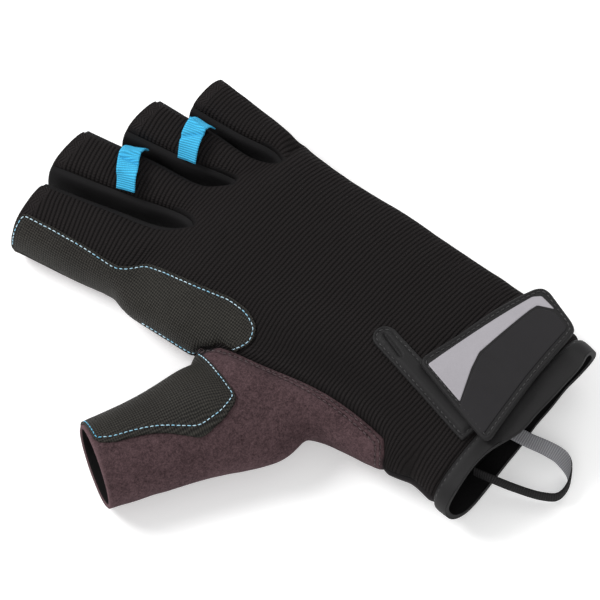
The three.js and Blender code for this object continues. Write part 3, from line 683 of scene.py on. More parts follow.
RING_DEPTHS = (0.25, 0.5, 0.8, 1.1, 1.5, 1.9, 2.4, 3.0)


def filled(outline, spacing, depths=RING_DEPTHS, edge_spacing=0.45):
    """Points and triangles that fill a closed outline, closer together along its edge."""
    outline = evenly(counterclockwise(outline), edge_spacing)
    points = [outline]
    for depth in depths:
        ring = inset(outline, depth)
        if len(ring) > 8:
            points.append(evenly(ring, edge_spacing * (1 + depth * 0.3)))
    low, high = outline.min(0), outline.max(0)
    rows = np.arange(low[1], high[1], spacing * 0.866)
    grid = np.array([
        (x + (spacing / 2 if r % 2 else 0), y)
        for r, y in enumerate(rows) for x in np.arange(low[0], high[0], spacing)
    ])
    if len(grid):
        inner = is_inside(grid, outline) & (distance_to_line(grid, outline) > depths[-1] + spacing / 2)
        points.append(grid[inner])
    flat = np.vstack(points)
    border = list(range(len(outline)))
    corners, _, faces, _, _, _ = delaunay_2d_cdt(
        [Vector(p) for p in flat], [], [border], 1, 1e-4,
    )
    flat = np.array([list(c) for c in corners])
    faces = np.array([f for f in faces if len(f) == 3])
    a, b, c = (flat[faces[:, i]] for i in range(3))
    area = (b[:, 0] - a[:, 0]) * (c[:, 1] - a[:, 1]) - (c[:, 0] - a[:, 0]) * (b[:, 1] - a[:, 1])
    faces[area < 0] = faces[area < 0][:, ::-1]
    return flat, faces[np.abs(area) > 1e-6], outline


# How far above the skin, in millimetres, the rays start that are cast down onto it.
RAY_START = 200


class Plane:
    """A plane that an outline is drawn in, and the way it is dropped onto the skin."""

    def __init__(self, along, across, tree=None):
        self.along, self.across = np.array(along, float), np.array(across, float)
        self.facing = np.cross(self.along, self.across)
        self.tree = tree

    def cast(self, tree, u, v):
        """What a flat point meets on its way down onto a surface."""
        start = self.along * u + self.across * v + self.facing * RAY_START
        return tree.ray_cast(Vector(start), Vector(-self.facing))

    def drop(self, flat):
        """Where flat points land on the skin. Those that miss it land where the nearest one does."""
        landed, found = np.zeros((len(flat), 3)), np.zeros(len(flat), bool)
        for i, (u, v) in enumerate(flat):
            place = self.cast(self.tree, u, v)[0]
            if place is not None:
                landed[i], found[i] = place, True
        if not found.all() and found.any():
            _, close = nearest(
                np.column_stack([flat[~found], np.zeros((~found).sum())]),
                np.column_stack([flat[found], np.zeros(found.sum())]),
            )
            landed[~found] = landed[found][close]
        return landed


def relaxed(points, faces, rounds):
    """Points drawn towards the middle of their neighbours."""
    a = faces.T.ravel()
    b = np.roll(faces, -1, axis=1).T.ravel()
    both, other = np.concatenate([a, b]), np.concatenate([b, a])
    n = np.maximum(np.bincount(both, minlength=len(points)), 1)[:, None]
    for _ in range(rounds):
        mean = add_up(both, points[other], len(points)) / n
        points = points + (mean - points) * 0.5
    return points


def slab(top, under, faces):
    """A closed piece from its two faces, which have the same triangles, and the wall between them."""
    a, b = rim_of(faces)
    count = len(top)
    walls = np.stack([b, a, a + count, b + count], 1).tolist()
    return np.vstack([top, under]), faces.tolist() + (faces[:, ::-1] + count).tolist() + walls


def draped(plane, flat, faces, height, floor=0.1):
    """A closed piece over the skin: its top at the given height, its underside just above it."""
    base = relaxed(plane.drop(flat), faces, 4)
    normals = normals_of(base, faces)
    for _ in range(3):
        normals = unit(relaxed(normals, faces, 1))
    return slab(base + normals * (floor + height)[:, None], base + normals * floor, faces)


def profile(distance, rows, reach):
    """A smooth height for each distance from an edge, up to a reach past which it stays the same.

    Each row is a distance and the height there.
    """
    at, height = zip(*rows)
    fine = np.linspace(0, at[-1], 200)
    values = np.interp(fine, at, height)
    kernel = np.hanning(13)
    padded = np.concatenate([np.full(6, values[0]), values, np.full(6, values[-1])])
    values = np.convolve(padded, kernel / kernel.sum(), "valid")
    return np.interp(np.minimum(distance, reach), fine, values)


# Thread: one stitch is modelled once and laid along a line again and again.


def stitch_form():
    """One stitch of unit length and radius along X, modelled from a ball.

    Blender may number the ball's points in any order, so they are put in an order of their own.
    """
    bpy.ops.object.select_all(action="DESELECT")
    bpy.ops.mesh.primitive_uv_sphere_add(segments=7, ring_count=6, radius=1)
    ball = bpy.context.object
    bpy.ops.object.mode_set(mode="EDIT")
    bpy.ops.mesh.select_all(action="SELECT")
    bpy.ops.transform.rotate(value=math.pi / 2, orient_axis="Y", center_override=(0, 0, 0))
    bpy.ops.object.mode_set(mode="OBJECT")
    points = np.array([v.co for v in ball.data.vertices])
    faces = [list(p.vertices) for p in ball.data.polygons]
    x = points[:, 0]
    points[:, 0] = 0.5 * np.sign(x) * np.abs(x) ** 0.6
    points[:, 1:] *= np.minimum(1, 1.25 * (1 - np.abs(x) ** 3))[:, None]
    mesh = ball.data
    bpy.data.objects.remove(ball)
    bpy.data.meshes.remove(mesh)
    order = np.lexsort(points.round(4).T)
    rank = np.argsort(order).tolist()
    turned = []
    for face in faces:
        numbers = [rank[i] for i in face]
        first = numbers.index(min(numbers))
        turned.append(numbers[first:] + numbers[:first])
    return points[order], sorted(turned)


def stitched(path, normals, length, gap, radius, seed=1):
    """Points, faces and tints of a row of stitches along a path on a surface.

    The length and the gap are in metres, as they are set, and the radius is in millimetres.
    """
    length, gap = length / MM, gap / MM
    picker = np.random.default_rng(seed)
    steps = np.linalg.norm(np.diff(path, axis=0), axis=1)
    along = np.concatenate([[0], np.cumsum(steps)])
    pitch = length + gap
    count = int(along[-1] // pitch)
    shape, faces = shared["form"]
    all_points, all_faces, tints = [], [], []
    for i in range(count):
        start = (along[-1] - count * pitch) / 2 + i * pitch + gap / 2
        stretch = length * picker.uniform(0.94, 1.04)
        places = start + (shape[:, 0] + 0.5) * stretch
        centre, before, after = (between(places + step, along, path) for step in (0, -0.3, 0.3))
        up = unit(between(places, along, normals))
        side = unit(np.cross(up, after - before))
        arch = radius * (0.75 - 1.5 * np.abs(2 * shape[:, 0]) ** 3)
        lean = picker.uniform(-0.12, 0.12) * shape[:, 0]
        points = centre + side * (shape[:, 1] * radius + lean)[:, None]
        points = points + up * (shape[:, 2] * radius + arch)[:, None]
        all_faces += [[f + len(all_points) * len(shape) for f in face] for face in faces]
        all_points.append(points)
        tints.append(np.full(len(shape), picker.uniform(0, 1)))
    if not all_points:
        return np.zeros((0, 3)), [], np.zeros(0)
    return np.vstack(all_points), all_faces, np.concatenate(tints)


def add_thread(name, rows, thread, slot):
    """One piece of all the stitches in some rows."""
    points, faces, tints, count = [], [], [], 0
    for row_points, row_faces, row_tints in rows:
        faces += [[f + count for f in face] for face in row_faces]
        points.append(row_points)
        tints.append(row_tints)
        count += len(row_points)
    marks = {"tint": np.concatenate(tints)}
    return made_object(name, np.vstack(points), faces, [finish_named(thread)], slot, marks=marks)


# Finishes


def summed(operation, swapped=False):
    """A method that feeds a maths node with a value and whatever else the sum needs."""

    def method(self, *others):
        values = (self, *others)
        node = self.finish.nodes.new("ShaderNodeMath")
        node.operation = operation
        for value, socket in zip(values[::-1] if swapped else values, node.inputs):
            self.finish.join(value, socket)
        return Value(self.finish, node.outputs[0])

    return method


class Value:
    """A socket's number, on which sums can be written."""

    def __init__(self, finish, socket):
        self.finish, self.socket = finish, socket

    __add__ = __radd__ = summed("ADD")
    __sub__ = summed("SUBTRACT")
    __rsub__ = summed("SUBTRACT", swapped=True)
    __mul__ = __rmul__ = summed("MULTIPLY")
    __truediv__ = summed("DIVIDE")
    __pow__ = summed("POWER")
    __abs__ = summed("ABSOLUTE")
    sine = summed("SINE")
    fraction = summed("FRACT")

    def clamped(self):
        return self.finish.node("ShaderNodeClamp", inputs={0: self})

    def wave(self):
        """A sine from 0 to 1 that repeats each time the value grows by one."""
        return (self * (2 * math.pi)).sine() * 0.5 + 0.5


class Finish:
    """A material whose nodes are written as sums."""

    def __init__(self, name, **constants):
        self.material = bpy.data.materials.new("glove_" + name)
        self.material.use_nodes = True
        self.tree = self.material.node_tree
        self.nodes = self.tree.nodes
        self.shader = self.nodes["Principled BSDF"]
        for socket, value in constants.items():
            self.shader.inputs[socket.replace("_", " ").title().replace("Ior", "IOR")].default_value = value

    def join(self, value, socket):
        """Feeds a socket with a value, a link or a plain number."""
        if isinstance(value, Value):
            self.tree.links.new(value.socket, socket)
        else:
            socket.default_value = value

    def node(self, kind, settings=None, inputs=None, output=0):
        """Any other node: its settings first, then the values or links of its sockets."""
        node = self.nodes.new(kind)
        for setting, value in (settings or {}).items():
            setattr(node, setting, value)
        for socket, value in (inputs or {}).items():
            self.join(value, node.inputs[socket])
        return Value(self, node.outputs[output])

    def place(self):
        """The point on the piece, in metres."""
        return self.node("ShaderNodeTexCoord", output="Object")

    def cloth(self):
        """The cloth's own across and along, in metres."""
        point = self.node("ShaderNodeUVMap", {"uv_map": "cloth"})
        across = self.node("ShaderNodeSeparateXYZ", inputs={0: point})
        return across, Value(self, across.socket.node.outputs[1]), point

    def mark(self, name):
        """A value that the piece's points carry."""
        return self.node("ShaderNodeAttribute", {"attribute_name": name}, output="Fac")

    def noise(self, point, scale, detail=3.0, roughness=0.6, distortion=0.0):
        """Noise from 0 to 1."""
        inputs = {"Vector": point, "Scale": scale, "Detail": detail, "Roughness": roughness,
                  "Distortion": distortion}
        return self.node("ShaderNodeTexNoise", inputs=inputs)

    def mixed(self, share, first, second):
        """A colour between two colours."""
        inputs = {"Factor": share, 6: with_alpha(first), 7: with_alpha(second)}
        return self.node("ShaderNodeMix", {"data_type": "RGBA"}, inputs, 2)

    def colour(self, value):
        self.join(with_alpha(value), self.shader.inputs["Base Color"])

    def roughness(self, value):
        self.join(value, self.shader.inputs["Roughness"])

    def relief(self, height, depth, strength=1.0):
        """Raises the surface by a height from 0 to 1, up to a depth in metres."""
        bump = self.node("ShaderNodeBump", inputs={"Height": height, "Distance": depth, "Strength": strength})
        self.join(bump, self.shader.inputs["Normal"])


def with_alpha(colour):
    """A link as it is, or a plain colour with its fourth number."""
    return colour if isinstance(colour, Value) else (*colour, 1.0)


def shaded(colour, share):
    """A colour made lighter or darker."""
    return tuple(min(1.0, c * share) for c in colour)


def knit_finish(colours, sizes):
    """Ribbed knit: round ribs across the hand, each a column of small loops, fuzzy at the ends."""
    finish = Finish("knit", specular_ior_level=0.05)
    across, along, point = finish.cloth()
    pitch = sizes.rib_pitch
    waver = finish.noise(point, 90.0, 2.0) * 0.0009
    rib = abs(((along + waver) / pitch * math.pi).sine())
    loops = (across / (pitch * 0.62) + rib * 0.35).wave()
    band = finish.mark("band")
    fuzz = finish.noise(finish.place(), 2600.0, 4.0, 0.75)
    ribbed = (rib ** 0.8) * 0.7 + loops * rib * 0.34
    plain = finish.noise(finish.place(), 3500.0, 2.0) * 0.3 + 0.45
    height = ribbed * (1 - band) + plain * band
    end = finish.mark("end")
    zigzag = abs(((across / 0.0042).fraction() - 0.5) * 2.0)
    chevron = (along / 0.0011 + zigzag * 1.6).wave()
    height = height * (1 - end) + (chevron * 0.6 + fuzz * 0.3) * end
    # The colour follows the relief height: painted shade in the grooves between the ribs, loops and chevrons,
    # and painted light on their crowns, mixed with random fuzz.
    deep, light = shaded(colours.knit, 0.28), shaded(colours.knit, 1.5)
    tone = height * 0.75 + fuzz * 0.6 - 0.24
    shade = finish.mixed(tone.clamped(), deep, light)
    patch = finish.noise(finish.place(), 45.0, 3.0)
    shade = finish.mixed((patch * 0.5).clamped(), shade, shaded(colours.knit, 0.8))
    shade = finish.mixed(band * 0.7, shade, shaded(colours.gusset, 1.0))
    shade = finish.mixed(end * 0.5 * fuzz, shade, shaded(colours.knit, 2.6))
    finish.colour(shade)
    finish.roughness(0.93 - band * 0.25)
    finish.relief(height + fuzz * 0.12, sizes.rib_depth, 0.9)
    return finish.material


# The two rows sewn along the suede beside the knit: how far each is from the seam, in millimetres.
TOPSTITCHES = (1.3, 3.0)
SEWN_WIDTH = 0.45


def suede_finish(colours):
    """Suede: a short mottled nap that catches light where it is brushed."""
    finish = Finish(
        "suede", specular_ior_level=0.04, sheen_weight=0.04, sheen_roughness=0.55,
        sheen_tint=(0.85, 0.62, 0.7, 1.0),
    )
    place = finish.place()
    nap = finish.noise(place, 2200.0, 5.0, 0.8)
    clumps = finish.noise(place, 520.0, 4.0, 0.65, 0.6)
    brushed = finish.noise(place, 38.0, 3.0, 0.55, 0.4)
    grain = finish.noise(place, 1300.0, 3.0, 0.85)
    web = finish.mark("web")
    from_seam = finish.mark("from_seam")
    sewn = [(1 - abs(from_seam - at) / SEWN_WIDTH).clamped() for at in TOPSTITCHES]
    groove = (sewn[0] + sewn[1]) * (1 - web)
    # The colour is darker in the two sewn grooves beside the knit: painted shade.
    tone = nap * 0.9 + grain * 1.5 + clumps * 0.9 + brushed * 0.6 - 1.45 - groove * 0.3
    shade = finish.mixed(tone.clamped(), shaded(colours.suede, 0.2), shaded(colours.suede, 2.1))
    edge = finish.mark("edge")
    shade = finish.mixed(edge * 0.6 * nap, shade, shaded(colours.suede, 3.2))
    shade = finish.mixed(web, shade, colours.gusset)
    finish.colour(shade)
    finish.roughness(0.97 - web * 0.35)
    finish.relief((nap * 0.4 + grain * 0.6 + clumps * 0.4 - groove * 0.9) * (1 - web * 0.9), 0.0005, 0.85)
    return finish.material


def gusset_finish(colours):
    """Smooth stretch cloth with a very fine weave."""
    finish = Finish("gusset", specular_ior_level=0.1)
    place = finish.place()
    weave = finish.noise(place, 4200.0, 2.0, 0.7)
    slow = finish.noise(place, 70.0, 2.0)
    tone = weave * 0.5 + slow * 0.5
    finish.colour(finish.mixed(tone, shaded(colours.gusset, 0.6), shaded(colours.gusset, 1.5)))
    finish.roughness(0.62 + weave * 0.2)
    finish.relief(weave, 0.00012, 0.6)
    return finish.material


def lining_finish(colours):
    """The dark inside of the glove: brushed lining cloth."""
    finish = Finish("lining", specular_ior_level=0.05)
    nap = finish.noise(finish.place(), 2400.0, 4.0, 0.75)
    finish.colour(finish.mixed(nap, shaded(colours.gusset, 0.4), shaded(colours.gusset, 1.3)))
    finish.roughness(0.95)
    finish.relief(nap, 0.0003, 0.6)
    return finish.material


def grip_finish(colours, sizes):
    """Synthetic leather with a fine twill grain that glints here and there."""
    finish = Finish("grip", specular_ior_level=0.18)
    across, along, _ = finish.cloth()
    pitch = sizes.grip_grain
    a = ((across + along) / pitch * (2 * math.pi)).sine()
    b = ((across - along) / pitch * (2 * math.pi)).sine()
    grain = (a * b) * 0.5 + 0.5
    flecks = finish.noise(finish.place(), 1900.0, 3.0, 0.8)
    slow = finish.noise(finish.place(), 50.0, 3.0)
    height = grain * 0.7 + flecks * 0.5
    # The colour follows the relief height: painted shade in the hollows of the grain, and painted light on
    # its raised twill and flecks, with random slow patches.
    tone = (height * 1.5 + slow * 0.5 - 0.8).clamped()
    finish.colour(finish.mixed(tone, shaded(colours.grip, 0.25), shaded(colours.grip, 2.3)))
    finish.roughness(0.66 - (flecks - 0.5) * 0.5)
    finish.relief(height, 0.0004, 0.9)
    return finish.material


def trim_finish(name, tint):
    """Soft binding cloth with a low sheen and a tight weave."""
    finish = Finish(name, specular_ior_level=0.18)
    place = finish.place()
    weave = finish.noise(place, 3600.0, 2.0, 0.6)
    slow = finish.noise(place, 110.0, 3.0, 0.6)
    finish.colour(finish.mixed((weave * 0.4 + slow * 0.6), shaded(tint, 0.65), shaded(tint, 1.35)))
    finish.roughness(0.5 + slow * 0.2)
    finish.relief(weave * 0.6 + slow * 0.8, 0.00022, 0.55)
    return finish.material


def silver_finish(colours):
    """Reflective film: pale grey with a soft metallic sheen and a faint bead grain."""
    finish = Finish("silver", metallic=0.15, specular_ior_level=0.25)
    place = finish.place()
    beads = finish.node("ShaderNodeTexVoronoi", inputs={"Vector": place, "Scale": 2600.0})
    slow = finish.noise(place, 55.0, 3.0)
    shade = finish.mixed(slow, shaded(colours.silver, 0.86), shaded(colours.silver, 1.12))
    finish.colour(finish.mixed(beads * 0.25, shade, shaded(colours.silver, 1.25)))
    finish.roughness(0.42 + slow * 0.12)
    finish.relief(beads, 0.00006, 0.5)
    return finish.material


def tape_finish(sizes, name, tint, contrast):
    """Woven tape: fine ribs from edge to edge, crossed by the warp."""
    finish = Finish(name, specular_ior_level=0.1)
    across, along, _ = finish.cloth()
    weft = (along / sizes.tape_rib).wave()
    warp = (across / (sizes.tape_rib * 0.8)).wave()
    fuzz = finish.noise(finish.place(), 2400.0, 3.0, 0.7)
    height = weft * 0.65 + warp * weft * 0.35
    # The colour follows the relief height: painted shade between the ribs and painted light on their crowns,
    # with random fuzz.
    tone = (height * contrast + fuzz * 0.5 + (0.5 - contrast * 0.5)).clamped()
    finish.colour(finish.mixed(tone, shaded(tint, 0.5), shaded(tint, 1.25)))
    finish.roughness(0.82)
    finish.relief(height + fuzz * 0.2, 0.0002, 0.8)
    return finish.material


def thread_finish(name, tint, dark):
    """Sewing thread, twisted, with stitches of slightly different tints."""
    finish = Finish(name, specular_ior_level=0.4, sheen_weight=0.2)
    twist = finish.noise(finish.place(), 1800.0, 1.0)
    tone = (finish.mark("tint") * 0.6 + twist * 0.4).clamped()
    finish.colour(finish.mixed(tone, tint, dark))
    finish.roughness(0.55)
    return finish.material


def floor_finish(colours):
    """A plain pale studio floor."""
    finish = Finish(
        "floor", specular_ior_level=0.0, emission_color=(1.0, 1.0, 1.0, 1.0), emission_strength=0.32,
    )
    finish.colour(colours.floor)
    finish.roughness(0.95)
    return finish.material


# What a user may change


def tint(name, description, value):
    """A colour setting."""
    return bpy.props.FloatVectorProperty(
        name=name, description=description, subtype="COLOR", size=3, min=0, max=1, default=value,
    )


def length(name, description, value):
    """A length setting, in metres."""
    return bpy.props.FloatProperty(
        name=name, description=description, default=value, min=0, unit="LENGTH", precision=5,
    )


class GloveSizes(bpy.types.PropertyGroup):
    """Sizes of the cloth, the seams and the thread."""

    wall: length("Wall", "Thickness of the knit and the suede", 0.0016)
    rib_pitch: length("Rib pitch", "From one rib of the knit to the next", 0.00147)
    rib_depth: length("Rib depth", "How deep the grooves between the ribs are", 0.0006)
    seam_gap: length("Seam gap", "Between two panels at their seam", 0.00012)
    seam_dip: length("Seam dip", "How far the cloth is drawn down at a seam", 0.0009)
    seam_reach: length("Seam reach", "How far from a seam the cloth is drawn down", 0.0013)
    end_bulge: length("End bulge", "Roundness of a cut end", 0.0005)
    grip_height: length("Grip height", "Thickness of the grip patches", 0.0009)
    grip_grain: length("Grip grain", "Pitch of the grain of the grip leather", 0.0017)
    stitch_length: length("Stitch length", "Length of one pale stitch", 0.00135)
    stitch_gap: length("Stitch gap", "Between two pale stitches", 0.00045)
    thread_radius: length("Thread radius", "Half the thickness of the pale thread", 0.00018)
    trim_stitch: length("Trim stitch", "Length of one dark stitch", 0.0015)
    trim_gap: length("Trim stitch gap", "Between two dark stitches", 0.0007)
    tape_rib: length("Tape rib", "Pitch of the ribs of the woven tapes", 0.0008)


class GloveColours(bpy.types.PropertyGroup):
    """Colours of the cloth, leather, tape and thread."""

    knit: tint("Knit", "The ribbed back", (0.0165, 0.0145, 0.0145))
    suede: tint("Suede", "The palm and the thumb", (0.060, 0.037, 0.040))
    gusset: tint("Gusset", "The smooth strips between the fingers", (0.011, 0.0105, 0.011))
    grip: tint("Grip", "The grip patches", (0.021, 0.0195, 0.0165))
    trim: tint("Trim", "The hem, the slit's trim and the strap's edge", (0.0150, 0.0145, 0.0150))
    silver: tint("Silver", "The reflective patch", (0.36, 0.345, 0.37))
    panel: tint("Panel", "The plain dark part of the strap", (0.0175, 0.0165, 0.018))
    blue: tint("Blue tape", "The pull tabs", (0.055, 0.42, 0.7))
    grey: tint("Grey tape", "The hang loop", (0.36, 0.36, 0.38))
    thread: tint("Pale thread", "The stitches round the grip patches", (0.72, 0.85, 0.9))
    thread_blue: tint("Blue thread", "The bluest of those stitches", (0.12, 0.5, 0.75))
    floor: tint("Floor", "The studio floor", (0.9, 0.9, 0.9))


def settings():
    """The sizes and colours that are set."""
    return bpy.context.scene.glove_sizes, bpy.context.scene.glove_colours


# Each finish by name, made from the colours c and the sizes s.
FINISHES = {
    "knit": knit_finish,
    "suede": lambda c, s: suede_finish(c),
    "gusset": lambda c, s: gusset_finish(c),
    "lining": lambda c, s: lining_finish(c),
    "grip": grip_finish,
    "trim": lambda c, s: trim_finish("trim", c.trim),
    "silver": lambda c, s: silver_finish(c),
    "panel": lambda c, s: trim_finish("panel", c.panel),
    "blue_tape": lambda c, s: tape_finish(s, "blue_tape", c.blue, 0.9),
    "grey_tape": lambda c, s: tape_finish(s, "grey_tape", c.grey, 0.8),
    "black_tape": lambda c, s: tape_finish(s, "black_tape", shaded(c.trim, 1.3), 0.8),
    "pale_thread": lambda c, s: thread_finish("pale_thread", c.thread, c.thread_blue),
    "dark_thread": lambda c, s: thread_finish("dark_thread", shaded(c.trim, 0.5), shaded(c.trim, 3.5)),
    "suede_thread": lambda c, s: thread_finish(
        "suede_thread", shaded(c.suede, 0.5), shaded(c.suede, 1.6),
    ),
    "floor": lambda c, s: floor_finish(c),
}

# What several pieces share, made once.
shared = {}
finishes_made = {}


def finish_named(name):
    """A finish, made the first time that it is asked for."""
    if name not in finishes_made:
        sizes, colours = settings()
        finishes_made[name] = FINISHES[name](colours, sizes)
    return finishes_made[name]


def shared_skin():
    """The skin, made once."""
    if "skin" not in shared:
        sizes, _ = settings()
        shared["skin"] = Skin(sizes.wall / MM)
        shared["form"] = stitch_form()
    return shared["skin"]


PANEL_SLOTS = {
    "knit_back": "knit", "palm_suede": "suede", "thumb_suede": "suede",
    "gusset_index_middle": "gusset", "gusset_middle_ring": "gusset", "gusset_ring_little": "gusset",
    "cuff_binding": "trim",
}


def skin_height(skin, sizes):
    """How far the cloth of each point stands above or below the smooth skin, in millimetres."""
    points = skin.outer
    dip = sizes.seam_dip / MM * np.exp(-((skin.to_seam / (sizes.seam_reach / MM)) ** 2))
    calm = smoothstep(0, 6, skin.to_seam)
    height = sum(rise * waves(points, size, seed) * calm for rise, size, seed in CLOTH_WAVES)
    for start, end, depth, width in FOLDS:
        height += fold(points, start, end, depth, width) * calm
    on_floor = smoothstep(2.5, 0.8, points[:, 2])
    height = np.where(height > 0, height * (1 - on_floor), height)
    return height - dip * (1 - on_floor)


# The slow waves of the cloth: the height of each, its length and its seed.
CLOTH_WAVES = ((0.22, 26, 4), (0.1, 9, 7))
# Creases and ridges of the cloth: where each starts and ends, its height and its half width.
FOLDS = (
    ((-38, -12, 20), (-44, 4, 22), -0.9, 4.0),
    ((-46, 0, 20), (-60, 12, 24), -0.6, 5.0),
    ((-36, -40, 14), (-38, -18, 12), 0.5, 5.0),
    ((-30, 66, 23), (-18, 58, 27), -0.5, 4.5),
    ((20, -20, 27), (38, -8, 22), -0.3, 6.0),
    ((-8, 50, 28), (-14, 66, 26), 0.4, 4.0),
)


# The black web between thumb and index finger: its middle, and where its edge starts and ends.
THUMB_WEB = (-44.0, 31.0, 14.0)
THUMB_WEB_REACH = (7.5, 6.5)
# Where the suede gives way to black cloth beside the wrist.
WRIST_SIDE_ALONG, WRIST_SIDE_ACROSS = (-41.0, -42.0), (-14.0, -18.0)
# The smooth band round each slit between the fingers: how far it runs, and its edge.
CROTCH_LENGTH = 9
CROTCH_BAND = (2.6, 1.9)
HEM_SWELL = 0.35
HEM_STITCH_INSET = 1.5
SUEDE_THREAD, TRIM_THREAD, STRAP_THREAD = 0.17, 0.2, 0.19


class GLOVE_OT_skin(bpy.types.Operator):
    """Sew the knit back, the suede palm and thumb, the gussets and the hem"""

    bl_idname = "glove.skin"
    bl_label = "Skin"

    def execute(self, context):
        sizes, _ = settings()
        skin = shared_skin()
        finishes = {name: finish_named(name) for name in ("knit", "suede", "gusset", "trim", "lining")}
        height = skin_height(skin, sizes)
        crotches = self.crotch_bands(skin)
        web = np.linalg.norm(skin.outer - np.array(THUMB_WEB), axis=1)
        marks = {
            "band": crotches,
            "end": smoothstep(4.2, 3.6, skin.to_mouth) * (skin.outer[:, 1] > 40),
            "edge": smoothstep(1.4, 0.2, skin.to_mouth),
            "web": np.maximum(smoothstep(*THUMB_WEB_REACH, web), self.wrist_side(skin)),
            "from_seam": self.from_seam(skin),
        }
        for panel, slot in PANEL_SLOTS.items():
            is_hem = panel == "cuff_binding"
            lift = height + HEM_SWELL * smoothstep(0.2, 1.4, skin.to_seam) if is_hem else height
            points, faces, numbers, take = shell(
                skin, panel, sizes.wall / MM, sizes.seam_gap / MM, sizes.end_bulge / MM, lift,
            )
            made_object(
                panel, points, faces, [finishes[slot], finishes["lining"]], slot, [panel],
                skin.knit[take], {name: values[take] for name, values in marks.items()}, numbers,
            )
        self.stitches(skin, sizes, height)
        return {"FINISHED"}

    def from_seam(self, skin):
        """How far each point is from the seam between the suede and the knit, in millimetres."""
        seam = skin.outer[sorted(skin.seam_sides[("knit_back", "thumb_suede")])]
        distance, _ = nearest(skin.outer, seam)
        return np.minimum(distance, 20)

    def stitches(self, skin, sizes, height):
        """The rows sewn along the suede beside the knit, and round the hem."""
        thread = sizes.trim_stitch, sizes.trim_gap
        rows = []
        for seed, reach in enumerate(TOPSTITCHES):
            line = seam_path(skin, ("knit_back", "thumb_suede"), 1, "thumb_suede", reach, height)
            rows.append(stitched(*line, *thread, SUEDE_THREAD, seed))
        add_thread("suede_stitches", rows, "suede_thread", "suede")
        line = seam_path(skin, ("cuff_binding", "knit_back"), 0, "cuff_binding", HEM_STITCH_INSET, height)
        add_thread("hem_stitches", [stitched(*line, *thread, TRIM_THREAD, 9)], "dark_thread", "trim")

    def wrist_side(self, skin):
        """Black cloth instead of suede beside the wrist, from the end of the thumb's seam."""
        x, y = skin.outer[:, 0], skin.outer[:, 1]
        return smoothstep(*WRIST_SIDE_ALONG, y) * smoothstep(*WRIST_SIDE_ACROSS, x)

    def crotch_bands(self, skin):
        """A narrow band of smooth cloth round the end of each slit between the fingers."""
        band = np.zeros(len(skin.outer))
        for gusset in GUSSETS.values():
            seam = [
                number for pair, numbers in skin.seam_sides.items()
                if gusset in pair and "knit_back" in pair for number in numbers
            ]
            line = skin.outer[seam]
            tip = line[np.argmin(line[:, 1])]
            near = line[np.linalg.norm(line - tip, axis=1) < CROTCH_LENGTH]
            distance, _ = nearest(skin.outer, near)
            band = np.maximum(band, smoothstep(*CROTCH_BAND, distance))
        return band


def patch_outline(rows, form, start=0.0):
    """An outline from shares of a form's length and breadth."""
    start, low = form["start"] + start, form["low"]
    return np.array([(start + a * form["length"], low + b * form["breadth"]) for a, b in rows])


def open_line(line, keep):
    """What is kept of a closed line, in its order, from the end of its gap."""
    order = np.roll(np.arange(len(line)), -int(np.argmin(keep)))
    return line[order][keep[order]]


def add_slab(name, piece, flat, finish, slot, node):
    """A finished slab, whose cloth lies as its flat outline does."""
    made_object(name, *piece, [finish_named(finish)], slot, [node], np.vstack([flat, flat]))


# How far apart the points are inside a piece and along a line, and how high thread lies, in millimetres.
FILL_SPACING, LINE_SPACING, THREAD_LIFT = 1.3, 0.5, 0.05
# A grip patch's start, low side, length and breadth, the way it faces, the two numbers of the
# outline's points between which it isn't stitched, and how far from its end the thread is blue.
INDEX_GRIP = dict(
    start=18.5, length=94, low=-29.4, breadth=31.3, facing=math.radians(45), bare=(17, 15), blue_end=0.0,
)
INDEX_GRIP_EDGE = (
    (1.0, 0.518), (0.873, 0.554), (0.745, 0.575), (0.596, 0.578), (0.553, 0.661),
    (0.524, 0.744), (0.45, 0.818), (0.367, 0.879), (0.229, 0.963), (0.172, 1.0),
    (0.09, 0.997), (0.027, 0.923), (0.0, 0.77), (0.016, 0.636), (0.048, 0.534),
    (0.133, 0.335), (0.186, 0.19), (1.0, 0.0),
)
THUMB_GRIP = dict(
    start=1.2, length=51, low=-37.9, breadth=35.5, facing=math.radians(45), bare=(14, 13), blue_end=2.6,
)
THUMB_GRIP_EDGE = (
    (0.0, 0.231), (0.103, 0.177), (0.257, 0.155), (0.358, 0.132), (0.451, 0.099),
    (0.556, 0.048), (0.669, 0.003), (0.756, 0.011), (0.861, 0.037), (0.962, 0.112),
    (1.0, 0.18), (0.99, 0.276), (0.97, 0.5), (0.93, 0.9), (0.0, 0.84),
)
GRIP_PROFILE = ((0, 0.05), (0.25, 0.75), (0.55, 0.95), (0.75, 0.85), (1.05, 0.5), (1.5, 0.9), (3.0, 1.0))
GRIP_STITCH_DEPTH = 1.05
GRIP_CORNER = 1.2
# The tint of the bluest stitches, past the spread of the others, which goes from 0 to 1.
BLUEST = 1.7


def sewn_on(plane, piece, flat, lift, *thread):
    """A row of stitches along a flat line that is laid on a piece's points and faces."""
    tree = BVHTree.FromPolygons(piece[0].tolist(), piece[1])
    path, normals = [], []
    for u, v in flat:
        place, normal, _, _ = plane.cast(tree, u, v)
        if place is not None:
            path.append(place)
            normals.append(normal)
    path, normals = np.array(path), np.array(normals)
    kernel = np.ones(5) / 5
    if len(path) > 10:
        for k in range(3):
            wide = np.pad(normals[:, k], 2, mode="edge")
            normals[:, k] = np.convolve(wide, kernel, "valid")
    normals = unit(normals)
    return stitched(path + normals * lift, normals, *thread)


